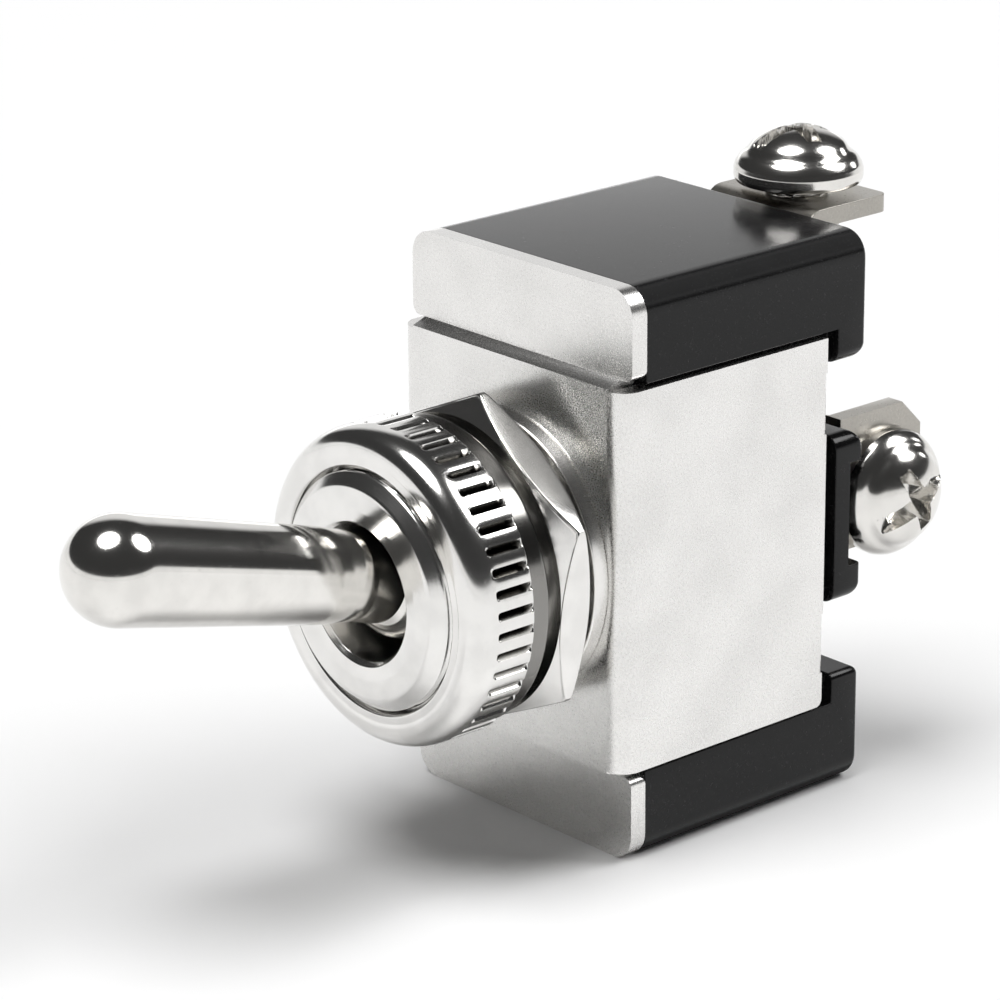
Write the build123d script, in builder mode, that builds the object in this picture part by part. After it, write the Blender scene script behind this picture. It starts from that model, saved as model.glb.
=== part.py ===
"""Panel toggle switch: metal frame, moulded body, threaded bushing, bat lever, two screw terminals.

Millimetres. The origin is on the bushing axis, in the front face of the frame's centre panel.
The lever points to -Y, the terminals to +Y, and the long side of the body stands along Z.
The model stands with the lever thrown up.
"""
import os
from math import cos, radians, sin, sqrt, tan

from build123d import *

# Clearances between pieces: beside each other, sliding, and tight
piece_gap = 0.05
slip_gap = 0.03
fixed_gap = 0.01

# How far a cut runs past what it cuts, and how near an edge lies to the place it is picked by
cut_margin = 1.0
pick_reach = 0.01

# Bushing: 15/32 inch thread, staked into the frame
bushing_radius = 5.953
bushing_length = 9.7
bushing_end_chamfer = 0.5
mouth_radius = 3.4
mouth_chamfer = 0.25
throat_length = 6.1
stake_step = 0.65
stake_overhang = 0.8
stake_wall = 0.7
stake_height = 0.6
stake_chamfer = 0.2

# Body: the housing and the frame share its height and its width, which clears the staked end
body_height = 29.2
body_depth = 15.9
body_side_margin = 1.897
body_edge_radius = 1.35
rear_edge_radius = 0.3
rim_radius = 0.8
low_rim_radius = 0.4

# Frame: one stamped sheet, a cross folded into a channel
sheet = 0.95
joggle_depth = 0.8
joggle_run = 0.3
joggle_wall = 0.6
joggle_overlap = 2.0
joggle_landing = 1.0
wing_stand_out = 0.2
wing_set_back = 2.9
wing_trim = 0.1
wing_bend_radius = 1.1
wing_corner_radius = 0.4
lobe_corner_radius = 1.35
lobe_inner_radius = 0.5
clinch_length = 3.2
clinch_height = 3.2
clinch_stand_out = 0.2
clinch_bend_radius = 0.5
clinch_side_gap = 0.15

# Housing: a seat for the side terminal, a groove above and below it for the clinch tabs
recess_depth = 0.9
recess_half_height = 2.75
upper_ledge = 1.55
lower_ledge = 1.85
groove_width = 3.8
upper_groove_inset = 1.75
wing_slot = 0.95
wing_slot_margin = 0.1
chamber_side_wall = 2.7
chamber_end_wall = 2.9
chamber_floor_wall = 3.5
chamber_corner_radius = 0.8
pad_height = 1.9

# Insulating card behind the frame's panel
card_hole_gap = 0.3

# Lock washer and the two nuts on the bushing
washer_reach = 1.3
washer_ring = 0.6
washer_thickness = 0.9
washer_teeth = 12
washer_tooth_width = 1.5
hex_wall = 1.717
hex_thickness = 1.8
hex_stand_off = 0.7
hex_turn = 23.5
hex_chamfer_angle = 30.0
hex_chamfer_margin = 0.05
ring_nut_wall = 2.017
ring_nut_length = 4.85
ring_nut_stand_off = 0.8
ring_collar_step = 0.25
ring_collar_length = 1.2
ring_back_chamfer = 0.25
ring_flute_length = 2.2
ring_flutes = 48
ring_flute_width = 0.42
ring_flute_depth = 0.45
ring_face_width = 0.767
ring_crown_across = 0.78
ring_crown_along = 0.62
nut_mouth_chamfer = 0.35

# Lever: a bat handle on a ball, with a bored stem behind it
lever_angle = 15.4
lever_pivot_back = 6.4
lever_length = 20.5
lever_tip_radius = 2.65
lever_root_radius = 2.35
lever_neck_radius = 2.2
lever_neck_reach = 3.9
lever_root_reach = 6.2
ball_radius = 3.05
stem_radius = 1.9
stem_end_chamfer = 0.2
stem_bore_radius = 1.15
stem_bore_depth = 8.5
stem_bore_point = 0.3
pin_radius = 0.75
pin_cover = 1.4
pin_chamfer = 0.12

# Spring and plunger in the stem
spring_wire = 0.34
spring_turns = 5
spring_side_gap = 0.1
spring_wire_sides = 6
plunger_tip_radius = 1.3
plunger_nose = 0.65
plunger_collar_radius = 1.65
plunger_collar = 0.8
plunger_travel = 0.7
plunger_stem_length = 4.5
plunger_hold_back = 0.37

# Contact arm: a bent strip that rocks in a cradle
arm_pivot_rise = 2.3
arm_tilt = 6.0
arm_sheet = 0.7
arm_half_width = 2.2
arm_vee_angle = 10.0
arm_vee_half = 5.6
arm_end_gap = 0.4
arm_end_radius = 0.9
arm_hole_radius = 0.72
trunnion_radius = 0.5
trunnion_length = 0.8
contact_inset = 1.8
button_radius = 1.5
button_thickness = 0.8
button_chamfer = 0.2
button_head_radius = 1.05
button_head = 0.3
cradle_sheet = 0.6
cradle_rise = 0.8
cradle_half_height = 2.6
ear_half_height = 1.5
ear_side_gap = 0.15

# Rivets that hold the cradle, the fixed contact and the terminals
rivet_radius = 0.95
rivet_head_radius = 1.55
rivet_head = 0.4
rivet_edge = 0.2
fixed_contact_radius = 1.7
fixed_contact_chamfer = 0.25
contact_gap = 0.04

# Terminals: bent strips with a tapped hole, and their screws
tab_sheet = 0.95
tab_width = 7.3
tab_reach = 5.9
tab_bend_radius = 1.2
tab_collar_radius = 2.15
tab_collar = 0.8
strip_corner = 1.0
top_tab_drop = 6.1
top_tab_corner = 0.4
side_tab_inset = 1.65
side_tab_top = 4.4
side_tab_corner = 1.4
side_base_reach = 3.4
screw_seat = 3.15
screw_radius = 1.753
screw_length = 4.8
screw_head_radius = 3.32
screw_head_side = 0.75
screw_head_rise = 2.05
screw_shoulder_radius = 0.25
screw_end_chamfer = 0.3
top_screw_lift = 0.55

# Places that follow from the sizes above
stake_neck_radius = bushing_radius - stake_step
stake_radius = stake_neck_radius + stake_overhang
flare_radius = stake_neck_radius - stake_wall
half_width = stake_radius + body_side_margin
body_width = 2 * half_width
half_height = body_height / 2
front_y = joggle_depth + sheet
back_y = joggle_depth + body_depth
wing_x = half_width + wing_stand_out
wing_seat_x = wing_x - sheet - piece_gap
wing_back = back_y - wing_set_back
clinch_back = wing_back + clinch_stand_out
slot_back_y = wing_back + wing_slot
groove_floor_y = clinch_back - sheet - piece_gap
upper_groove = recess_half_height + upper_ledge
lower_groove = -(recess_half_height + lower_ledge + groove_width)
panel_half_height = upper_groove + groove_width + upper_groove_inset
wing_half_height = panel_half_height - wing_trim
recess_y = back_y - recess_depth
floor_y = recess_y - chamber_floor_wall
chamber_half_width = half_width - chamber_side_wall
chamber_half_height = half_height - chamber_end_wall
pivot_y = -lever_pivot_back
washer_radius = bushing_radius + washer_reach
hex_back = washer_thickness + hex_stand_off
hex_front = hex_back + hex_thickness
ring_back = hex_front + ring_nut_stand_off
ring_front = ring_back + ring_nut_length
nut_bore_radius = bushing_radius + slip_gap
hex_across_flats = 2 * (nut_bore_radius + hex_wall)
ring_nut_radius = nut_bore_radius + ring_nut_wall
ring_collar_radius = ring_nut_radius - ring_collar_step
ring_face_radius = nut_bore_radius + ring_face_width
pin_reach = bushing_radius - pin_cover
arm_pivot = floor_y - arm_pivot_rise
arm_half_length = chamber_half_height - arm_end_gap
contact_height = chamber_half_height - contact_inset
tap_radius = screw_radius + slip_gap
rivet_hole_radius = rivet_radius + fixed_gap
screw_y = back_y + screw_seat
side_tab_face = half_width - side_tab_inset
tab_end_y = back_y + tab_reach

# The lever's own frame: its Y runs out along the handle, its X is the hinge line
lever_cos = cos(radians(lever_angle))
lever_sin = sin(radians(lever_angle))
lever_plane = Plane(origin=(0, pivot_y, 0), x_dir=(1, 0, 0), z_dir=(0, -lever_sin, -lever_cos))
lever_axis = Axis((0, pivot_y, 0), (0, -lever_cos, lever_sin))

# The contact arm's own frame: its X is the way to the back, its Y runs up the strip
arm_cos = cos(radians(arm_tilt))
arm_sin = sin(radians(arm_tilt))
arm_plane = Plane(origin=(0, arm_pivot, 0), x_dir=(0, arm_cos, arm_sin), z_dir=(1, 0, 0))
arm_vee_y = -arm_vee_half * tan(radians(arm_vee_angle))
arm_end_slope = tan(radians(arm_tilt))


def arm_centre(height):
    """Offset of the strip's middle from the pivot, at a height above or below it."""
    return arm_vee_y - (abs(height) - arm_vee_half) * arm_end_slope


def arm_point(back, up):
    """A point of the arm's frame, given in the switch's frame."""
    return (0, arm_pivot + back * arm_cos - up * arm_sin, back * arm_sin + up * arm_cos)


# Reach of the closed contact: the arm is thrown to the other side, so its end stands square
closed_middle = arm_pivot + arm_centre(contact_height) * arm_cos + contact_height * arm_sin
arm_half_skin = arm_sheet / 2
fixed_face_y = closed_middle + arm_half_skin + button_thickness + contact_gap
pad_face_y = closed_middle + arm_half_skin + contact_gap

# Length of the plunger: its nose reaches the arm's pressed side, less the hold back
press_angle = radians(arm_vee_angle - arm_tilt)
nose_span = (arm_pivot - pivot_y) * cos(press_angle)
nose_span = nose_span - arm_half_skin - plunger_tip_radius - contact_gap
nose_reach = nose_span / (lever_cos * cos(press_angle) + lever_sin * sin(press_angle))
nose_centre = nose_reach - plunger_hold_back
plunger_shoulder = nose_centre - plunger_nose
collar_front = plunger_shoulder - plunger_collar
plunger_end = collar_front - plunger_stem_length
stem_end = collar_front - plunger_travel
bore_end = stem_end - stem_bore_depth

os.makedirs("parts", exist_ok=True)

# Frame: channel with wings, joggled lobes above and below, clinch tabs at the back
with BuildPart() as frame:
    with BuildSketch(Plane.XY.offset(-wing_half_height)):
        with Locations((0, wing_back / 2)):
            Rectangle(2 * wing_x, wing_back)
        with Locations((0, (wing_back + sheet) / 2)):
            Rectangle(2 * (wing_x - sheet), wing_back - sheet, mode=Mode.SUBTRACT)
    extrude(amount=2 * wing_half_height)
    rear_corners = frame.edges().filter_by(Axis.X).group_by(Axis.Y)[-1]
    fillet(rear_corners.group_by(Axis.Z)[0], wing_corner_radius)
    upright = frame.edges().filter_by(Axis.Z)
    fillet(upright.filter_by_position(Axis.Y, -pick_reach, pick_reach), wing_bend_radius)
    inner_bends = frame.edges().filter_by(Axis.Z)
    inner_bends = inner_bends.filter_by_position(Axis.Y, sheet - pick_reach, sheet + pick_reach)
    wing_inside = wing_x - sheet
    inner_bends = inner_bends.filter_by(lambda edge: abs(abs(edge.center().X) - wing_inside) < pick_reach)
    fillet(inner_bends, wing_bend_radius - sheet)
    for side in (1, -1):
        with BuildSketch(Plane.YZ.offset(-(wing_x - wing_bend_radius))):
            with BuildLine():
                Polyline(
                    (joggle_depth, side * (panel_half_height + joggle_run + joggle_landing)),
                    (joggle_depth, side * (panel_half_height + joggle_run)),
                    (0, side * panel_half_height),
                    (0, side * (panel_half_height - joggle_overlap)),
                    (sheet, side * (panel_half_height - joggle_overlap)),
                    (sheet, side * (panel_half_height - joggle_wall)),
                    (front_y, side * (panel_half_height + joggle_run - joggle_wall)),
                    (front_y, side * (panel_half_height + joggle_run + joggle_landing)),
                    close=True,
                )
            make_face()
        extrude(amount=2 * (wing_x - wing_bend_radius))
        lobe_start = panel_half_height + joggle_run
        lobe_height = half_height - lobe_start
        with BuildSketch(Plane.XZ.offset(-front_y)) as lobe:
            with Locations((0, side * (lobe_start + lobe_height / 2))):
                Rectangle(body_width, lobe_height)
            fillet(lobe.vertices().group_by(Axis.Y)[-1 if side > 0 else 0], lobe_corner_radius)
            fillet(lobe.vertices().group_by(Axis.Y)[0 if side > 0 else -1], lobe_inner_radius)
        extrude(amount=sheet)
    for groove in (upper_groove, lower_groove):
        tab_start = groove + groove_width - clinch_side_gap - clinch_height
        with BuildSketch(Plane.XY.offset(tab_start)):
            for side in (1, -1):
                with Locations((side * (wing_x - clinch_length / 2), clinch_back - sheet / 2)):
                    Rectangle(clinch_length, sheet)
        extrude(amount=clinch_height)
        with BuildSketch(Plane.XY.offset(tab_start)):
            for side in (1, -1):
                corner = clinch_bend_radius
                with Locations((side * (wing_x - corner / 2), clinch_back - corner / 2)):
                    Rectangle(corner, corner)
                with Locations((side * (wing_x - corner), clinch_back - corner)):
                    Circle(corner, mode=Mode.SUBTRACT)
        extrude(amount=clinch_height, mode=Mode.SUBTRACT)
    with BuildSketch(Plane.XZ):
        Circle(stake_neck_radius + fixed_gap)
    extrude(amount=-sheet, mode=Mode.SUBTRACT)
frame.part.label = "frame"
export_step(frame.part, "parts/frame.step")

# Housing: one moulding with a contact chamber that opens to the front
with BuildPart() as housing:
    with BuildSketch(Plane.XZ.offset(-front_y)):
        RectangleRounded(body_width, body_height, body_edge_radius)
    extrude(amount=-(back_y - front_y))
    fillet(housing.faces().sort_by(Axis.Y)[-1].edges(), rear_edge_radius)
    for groove in (upper_groove, lower_groove):
        with BuildSketch(Plane.XZ.offset(-groove_floor_y)):
            with Locations((0, groove + groove_width / 2)):
                Rectangle(body_width + 2 * cut_margin, groove_width)
        extrude(amount=-(back_y - groove_floor_y), mode=Mode.SUBTRACT)
        rims = housing.edges().filter_by(Axis.X)
        rims = rims.filter_by_position(Axis.Y, back_y - pick_reach, back_y + pick_reach)
        groove_end = groove + groove_width
        rims = rims.filter_by_position(Axis.Z, groove - pick_reach, groove_end + pick_reach)
        rims = rims.sort_by(Axis.Z)
        fillet(rims[-1], rim_radius)
        fillet(rims[0], rim_radius if groove > 0 else low_rim_radius)
    with BuildSketch(Plane.XZ.offset(-recess_y)):
        Rectangle(body_width + 2 * cut_margin, 2 * recess_half_height)
    extrude(amount=-recess_depth, mode=Mode.SUBTRACT)
    wing_zone = panel_half_height + wing_slot_margin
    with BuildSketch(Plane.XY.offset(-wing_zone)):
        for side in (1, -1):
            with Locations((side * (wing_seat_x + cut_margin), (front_y + slot_back_y) / 2)):
                Rectangle(2 * cut_margin, slot_back_y - front_y)
    extrude(amount=2 * wing_zone, mode=Mode.SUBTRACT)
    with BuildSketch(Plane.XZ.offset(-front_y)):
        RectangleRounded(2 * chamber_half_width, 2 * chamber_half_height, chamber_corner_radius)
    extrude(amount=-(floor_y - front_y), mode=Mode.SUBTRACT)
    with BuildSketch(Plane.XZ.offset(-pad_face_y)):
        with Locations((0, -chamber_half_height + pad_height / 2)):
            Rectangle(2 * arm_half_width, pad_height)
    extrude(amount=-(floor_y - pad_face_y))
    with BuildSketch(Plane.XZ.offset(-floor_y)):
        with Locations((0, 0), (0, contact_height)):
            Circle(rivet_hole_radius)
    extrude(amount=-(back_y - floor_y), mode=Mode.SUBTRACT)
housing.part.label = "housing"
export_step(housing.part, "parts/housing.step")

# Insulating card between the frame's panel and the mouth of the chamber
with BuildPart() as insulator_card:
    with BuildSketch(Plane.XZ.offset(-(sheet + fixed_gap))):
        card_half_height = panel_half_height - joggle_wall - piece_gap
        Rectangle(2 * (wing_seat_x - wing_bend_radius + sheet), 2 * card_half_height)
        Circle(stake_radius + card_hole_gap, mode=Mode.SUBTRACT)
    extrude(amount=-(joggle_depth - 2 * fixed_gap))
insulator_card.part.label = "insulator_card"
export_step(insulator_card.part, "parts/insulator_card.step")

# Bushing: round barrel with a flared bore, slots for the hinge pin and a staked end
with BuildPart() as bushing:
    with BuildSketch(Plane.XY):
        with BuildLine():
            Polyline(
                (mouth_radius + mouth_chamfer, -bushing_length),
                (bushing_radius - bushing_end_chamfer, -bushing_length),
                (bushing_radius, -(bushing_length - bushing_end_chamfer)),
                (bushing_radius, 0),
                (stake_neck_radius, 0),
                (stake_neck_radius, sheet),
                (stake_radius, sheet),
                (stake_radius, sheet + stake_height - stake_chamfer),
                (stake_radius - stake_chamfer, sheet + stake_height),
                (flare_radius, sheet + stake_height),
                (mouth_radius, -(bushing_length - throat_length)),
                (mouth_radius, -(bushing_length - mouth_chamfer)),
                close=True,
            )
        make_face()
    revolve(axis=Axis.Y)
    slot_half = pin_radius + piece_gap
    slot_reach = pin_reach + 2 * piece_gap
    with BuildSketch(Plane.YZ.offset(-slot_reach)):
        with Locations((pivot_y, 0)):
            Circle(slot_half)
        slot_length = sheet + stake_height + lever_pivot_back
        with Locations((pivot_y + slot_length / 2, 0)):
            Rectangle(slot_length, 2 * slot_half)
    extrude(amount=2 * slot_reach, mode=Mode.SUBTRACT)
bushing.part.label = "bushing"
export_step(bushing.part, "parts/bushing.step")

# Lock washer with internal teeth, flat on the frame's panel
with BuildPart() as lock_washer:
    with BuildSketch(Plane.XZ):
        Circle(washer_radius)
        Circle(washer_radius - washer_ring, mode=Mode.SUBTRACT)
        with PolarLocations(washer_radius - washer_ring / 2, washer_teeth):
            tooth_reach = washer_radius - washer_ring / 2 - bushing_radius - piece_gap
            Rectangle(tooth_reach, washer_tooth_width, align=(Align.MAX, Align.CENTER))
    extrude(amount=washer_thickness)
lock_washer.part.label = "lock_washer"
export_step(lock_washer.part, "parts/lock_washer.step")

# Hex nut, chamfered on both faces
with BuildPart() as hex_nut:
    with BuildSketch(Plane.XZ.offset(hex_back)):
        RegularPolygon(hex_across_flats / 2, 6, major_radius=False, rotation=hex_turn)
    extrude(amount=hex_thickness)
    with BuildSketch(Plane.XY):
        with BuildLine():
            corner_radius = hex_across_flats / sqrt(3) + hex_chamfer_margin
            corner_drop = (corner_radius - hex_across_flats / 2) * tan(radians(hex_chamfer_angle))
            Polyline(
                (0, -hex_back),
                (hex_across_flats / 2, -hex_back),
                (corner_radius, -(hex_back + corner_drop)),
                (corner_radius, -(hex_front - corner_drop)),
                (hex_across_flats / 2, -hex_front),
                (0, -hex_front),
                close=True,
            )
        make_face()
    revolve(axis=Axis.Y, mode=Mode.INTERSECT)
    with BuildSketch(Plane.XZ.offset(hex_back)):
        Circle(nut_bore_radius)
    extrude(amount=hex_thickness, mode=Mode.SUBTRACT)
    chamfer(hex_nut.edges().filter_by(GeomType.CIRCLE).group_by(SortBy.RADIUS)[0], nut_mouth_chamfer)
hex_nut.part.label = "hex_nut"
export_step(hex_nut.part, "parts/hex_nut.step")

# Ring nut: plain collar, milled flutes, rounded front
with BuildPart() as ring_nut:
    with BuildSketch(Plane.XY):
        with BuildLine():
            flute_start = ring_back + ring_collar_length
            flute_end = flute_start + ring_flute_length
            Line((nut_bore_radius, -ring_front), (ring_face_radius, -ring_front))
            crown_middle = ring_face_radius + ring_crown_across * (ring_nut_radius - ring_face_radius)
            crown_height = flute_end + ring_crown_along * (ring_front - flute_end)
            ThreePointArc(
                (ring_face_radius, -ring_front),
                (crown_middle, -crown_height),
                (ring_nut_radius, -flute_end),
            )
            Line((ring_nut_radius, -flute_end), (ring_nut_radius, -flute_start))
            Line((ring_nut_radius, -flute_start), (ring_collar_radius, -flute_start))
            chamfer_end = ring_back + ring_back_chamfer
            Line((ring_collar_radius, -flute_start), (ring_collar_radius, -chamfer_end))
            Line((ring_collar_radius, -chamfer_end), (ring_collar_radius - ring_back_chamfer, -ring_back))
            Line((ring_collar_radius - ring_back_chamfer, -ring_back), (nut_bore_radius, -ring_back))
            Line((nut_bore_radius, -ring_back), (nut_bore_radius, -ring_front))
        make_face()
    revolve(axis=Axis.Y)
    with BuildSketch(Plane.XZ.offset(flute_start)):
        with PolarLocations(ring_nut_radius, ring_flutes):
            Rectangle(2 * ring_flute_depth, ring_flute_width)
    extrude(amount=ring_flute_length, mode=Mode.SUBTRACT)
    mouths = ring_nut.edges().filter_by(GeomType.CIRCLE)
    mouths = mouths.filter_by(lambda edge: abs(edge.radius - nut_bore_radius) < pick_reach)
    chamfer(mouths, nut_mouth_chamfer)
ring_nut.part.label = "ring_nut"
export_step(ring_nut.part, "parts/ring_nut.step")

# Lever: bat handle, ball and bored stem turned in one piece
with BuildPart() as lever:
    with BuildSketch(lever_plane):
        with BuildLine():
            tip_start = lever_length - lever_tip_radius
            tip_mid = lever_tip_radius * sin(radians(45))
            neck_meet = sqrt(ball_radius**2 - lever_neck_radius**2)
            stem_meet = sqrt(ball_radius**2 - stem_radius**2)
            ThreePointArc(
                (0, lever_length), (tip_mid, tip_start + tip_mid), (lever_tip_radius, tip_start)
            )
            Line((lever_tip_radius, tip_start), (lever_root_radius, lever_root_reach))
            Line((lever_root_radius, lever_root_reach), (lever_neck_radius, lever_neck_reach))
            Line((lever_neck_radius, lever_neck_reach), (lever_neck_radius, neck_meet))
            ThreePointArc((lever_neck_radius, neck_meet), (ball_radius, 0), (stem_radius, -stem_meet))
            chamfer_start = stem_end - stem_end_chamfer
            Line((stem_radius, -stem_meet), (stem_radius, -chamfer_start))
            Line((stem_radius, -chamfer_start), (stem_radius - stem_end_chamfer, -stem_end))
            Line((stem_radius - stem_end_chamfer, -stem_end), (stem_bore_radius, -stem_end))
            Line((stem_bore_radius, -stem_end), (stem_bore_radius, -bore_end))
            Line((stem_bore_radius, -bore_end), (0, -(bore_end - stem_bore_point)))
            Line((0, -(bore_end - stem_bore_point)), (0, lever_length))
        make_face()
    revolve(axis=lever_axis)
    with BuildSketch(Plane.YZ.offset(-(ball_radius + cut_margin))):
        with Locations((pivot_y, 0)):
            Circle(pin_radius + fixed_gap)
    extrude(amount=2 * (ball_radius + cut_margin), mode=Mode.SUBTRACT)
lever.part.label = "lever"
export_step(lever.part, "parts/lever.step")

# Hinge pin through the ball, its ends in the bushing's slots
with BuildPart() as lever_pin:
    with BuildSketch(Plane.YZ.offset(-pin_reach)):
        with Locations((pivot_y, 0)):
            Circle(pin_radius)
    extrude(amount=2 * pin_reach)
    chamfer(lever_pin.edges().filter_by(GeomType.CIRCLE), pin_chamfer)
lever_pin.part.label = "lever_pin"
export_step(lever_pin.part, "parts/lever_pin.step")

# Coil spring between the bottom of the stem's bore and the plunger
spring_room = plunger_end - bore_end
spring_radius = stem_bore_radius - spring_wire / 2 - spring_side_gap
spring_height = spring_room - spring_wire - 2 * piece_gap
spring_start = bore_end + spring_wire / 2 + piece_gap
with BuildPart() as lever_spring:
    with BuildLine() as coil:
        Helix(
            pitch=spring_height / spring_turns,
            height=spring_height,
            radius=spring_radius,
            center=tuple(lever_plane.from_local_coords((0, -spring_start, 0))),
            direction=(0, lever_cos, -lever_sin),
        )
    with BuildSketch(Plane(origin=coil.line @ 0, z_dir=coil.line % 0)):
        RegularPolygon(spring_wire / 2, spring_wire_sides)
    sweep(path=coil.line, is_frenet=True)
lever_spring.part.label = "lever_spring"
export_step(lever_spring.part, "parts/lever_spring.step")

# Plunger: guided stem, collar and round nose
with BuildPart() as plunger:
    with BuildSketch(lever_plane):
        with BuildLine():
            guide_radius = stem_bore_radius - piece_gap
            nose_mid = plunger_tip_radius * sin(radians(45))
            Polyline(
                (0, -plunger_end),
                (guide_radius, -plunger_end),
                (guide_radius, -collar_front),
                (plunger_collar_radius, -collar_front),
                (plunger_collar_radius, -plunger_shoulder),
                (plunger_tip_radius, -plunger_shoulder),
                (plunger_tip_radius, -nose_centre),
            )
            ThreePointArc(
                (plunger_tip_radius, -nose_centre),
                (nose_mid, -(nose_centre + nose_mid)),
                (0, -(nose_centre + plunger_tip_radius)),
            )
            Line((0, -(nose_centre + plunger_tip_radius)), (0, -plunger_end))
        make_face()
    revolve(axis=lever_axis)
plunger.part.label = "plunger"
export_step(plunger.part, "parts/plunger.step")

# Contact arm: strip bent to a shallow vee, with a trunnion at each edge
button_plane = Plane(
    origin=arm_point(arm_centre(contact_height), contact_height),
    x_dir=(1, 0, 0),
    z_dir=(0, cos(radians(2 * arm_tilt)), sin(radians(2 * arm_tilt))),
)
with BuildPart() as contact_arm:
    with BuildSketch(arm_plane):
        with BuildLine():
            bend_points = [
                (arm_centre(arm_half_length), arm_half_length),
                (arm_vee_y, arm_vee_half),
                (0, 0),
                (arm_vee_y, -arm_vee_half),
                (arm_centre(arm_half_length), -arm_half_length),
            ]
            front_side = [(back - arm_half_skin, up) for back, up in bend_points]
            back_side = [(back + arm_half_skin, up) for back, up in reversed(bend_points)]
            Polyline(*front_side, *back_side, close=True)
        make_face()
    extrude(amount=arm_half_width, both=True)
    arm_end_start = arm_half_length - arm_end_radius
    ends = contact_arm.edges().filter_by(lambda edge: abs(edge.center().Z) > arm_end_start)
    corners = ends.filter_by(lambda edge: abs(abs(edge.center().X) - arm_half_width) < pick_reach)
    corners = corners.filter_by(lambda edge: edge.length < 2 * arm_sheet)
    fillet(corners, arm_end_radius)
    with BuildSketch(arm_plane.offset(-(arm_half_width + trunnion_length))):
        Circle(trunnion_radius)
    extrude(amount=trunnion_length)
    with BuildSketch(arm_plane.offset(arm_half_width)):
        Circle(trunnion_radius)
    extrude(amount=trunnion_length)
    with BuildSketch(button_plane.offset(-cut_margin)):
        Circle(arm_hole_radius + fixed_gap)
    extrude(amount=2 * cut_margin, mode=Mode.SUBTRACT)
contact_arm.part.label = "contact_arm"
export_step(contact_arm.part, "parts/contact_arm.step")

# Moving contact: a button riveted through the arm
arm_skin_square = arm_half_skin * cos(radians(arm_tilt))
with BuildPart() as moving_contact:
    with BuildSketch(button_plane.offset(arm_skin_square)):
        Circle(button_radius)
    extrude(amount=button_thickness)
    chamfer(moving_contact.faces().sort_by(Axis.Y)[-1].edges(), button_chamfer)
    with BuildSketch(button_plane.offset(-arm_skin_square)):
        Circle(arm_hole_radius)
    extrude(amount=2 * arm_skin_square)
    with BuildSketch(button_plane.offset(-arm_skin_square)):
        Circle(button_head_radius)
    extrude(amount=-button_head)
moving_contact.part.label = "moving_contact"
export_step(moving_contact.part, "parts/moving_contact.step")

# Cradle: folded seat on the chamber floor, its ears notched for the trunnions
with BuildPart() as arm_cradle:
    ear_inner = arm_half_width + ear_side_gap
    ear_outer = ear_inner + cradle_sheet
    with BuildSketch(Plane.XZ.offset(-floor_y)):
        Rectangle(2 * ear_outer, 2 * cradle_half_height)
        Circle(rivet_hole_radius, mode=Mode.SUBTRACT)
    extrude(amount=cradle_sheet)
    for side in (1, -1):
        with BuildSketch(Plane.YZ.offset(side * ear_inner)):
            with Locations(((floor_y + arm_pivot - cradle_rise) / 2, 0)):
                Rectangle(floor_y - arm_pivot + cradle_rise, 2 * ear_half_height)
            with Locations((arm_pivot, 0)):
                Circle(trunnion_radius + piece_gap, mode=Mode.SUBTRACT)
            with Locations((arm_pivot - cradle_rise / 2, 0)):
                Rectangle(cradle_rise, 2 * (trunnion_radius + piece_gap), mode=Mode.SUBTRACT)
        extrude(amount=side * cradle_sheet)
arm_cradle.part.label = "arm_cradle"
export_step(arm_cradle.part, "parts/arm_cradle.step")

# Common rivet: clamps the cradle and the side terminal to the housing
with BuildPart() as common_rivet:
    with BuildSketch(Plane.XY):
        with BuildLine():
            inner_seat = floor_y - cradle_sheet
            outer_seat = recess_y + tab_sheet
            Polyline(
                (0, inner_seat - rivet_head),
                (rivet_head_radius - rivet_edge, inner_seat - rivet_head),
                (rivet_head_radius, inner_seat - rivet_head + rivet_edge),
                (rivet_head_radius, inner_seat),
                (rivet_radius, inner_seat),
                (rivet_radius, outer_seat),
                (rivet_head_radius, outer_seat),
                (rivet_head_radius, outer_seat + rivet_head - rivet_edge),
                (rivet_head_radius - rivet_edge, outer_seat + rivet_head),
                (0, outer_seat + rivet_head),
                close=True,
            )
        make_face()
    revolve(axis=Axis.Y)
common_rivet.part.label = "common_rivet"
export_step(common_rivet.part, "parts/common_rivet.step")

# Fixed contact: a tall head inside the chamber, riveted over on the top terminal
contact_axis = Axis((0, 0, contact_height), (0, 1, 0))
with BuildPart() as fixed_contact:
    with BuildSketch(Plane.XY.offset(contact_height)):
        with BuildLine():
            outer_seat = back_y + tab_sheet
            Polyline(
                (0, fixed_face_y),
                (fixed_contact_radius - fixed_contact_chamfer, fixed_face_y),
                (fixed_contact_radius, fixed_face_y + fixed_contact_chamfer),
                (fixed_contact_radius, floor_y),
                (rivet_radius, floor_y),
                (rivet_radius, outer_seat),
                (rivet_head_radius, outer_seat),
                (rivet_head_radius, outer_seat + rivet_head - rivet_edge),
                (rivet_head_radius - rivet_edge, outer_seat + rivet_head),
                (0, outer_seat + rivet_head),
                close=True,
            )
        make_face()
    revolve(axis=contact_axis)
fixed_contact.part.label = "fixed_contact"
export_step(fixed_contact.part, "parts/fixed_contact.step")

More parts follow.
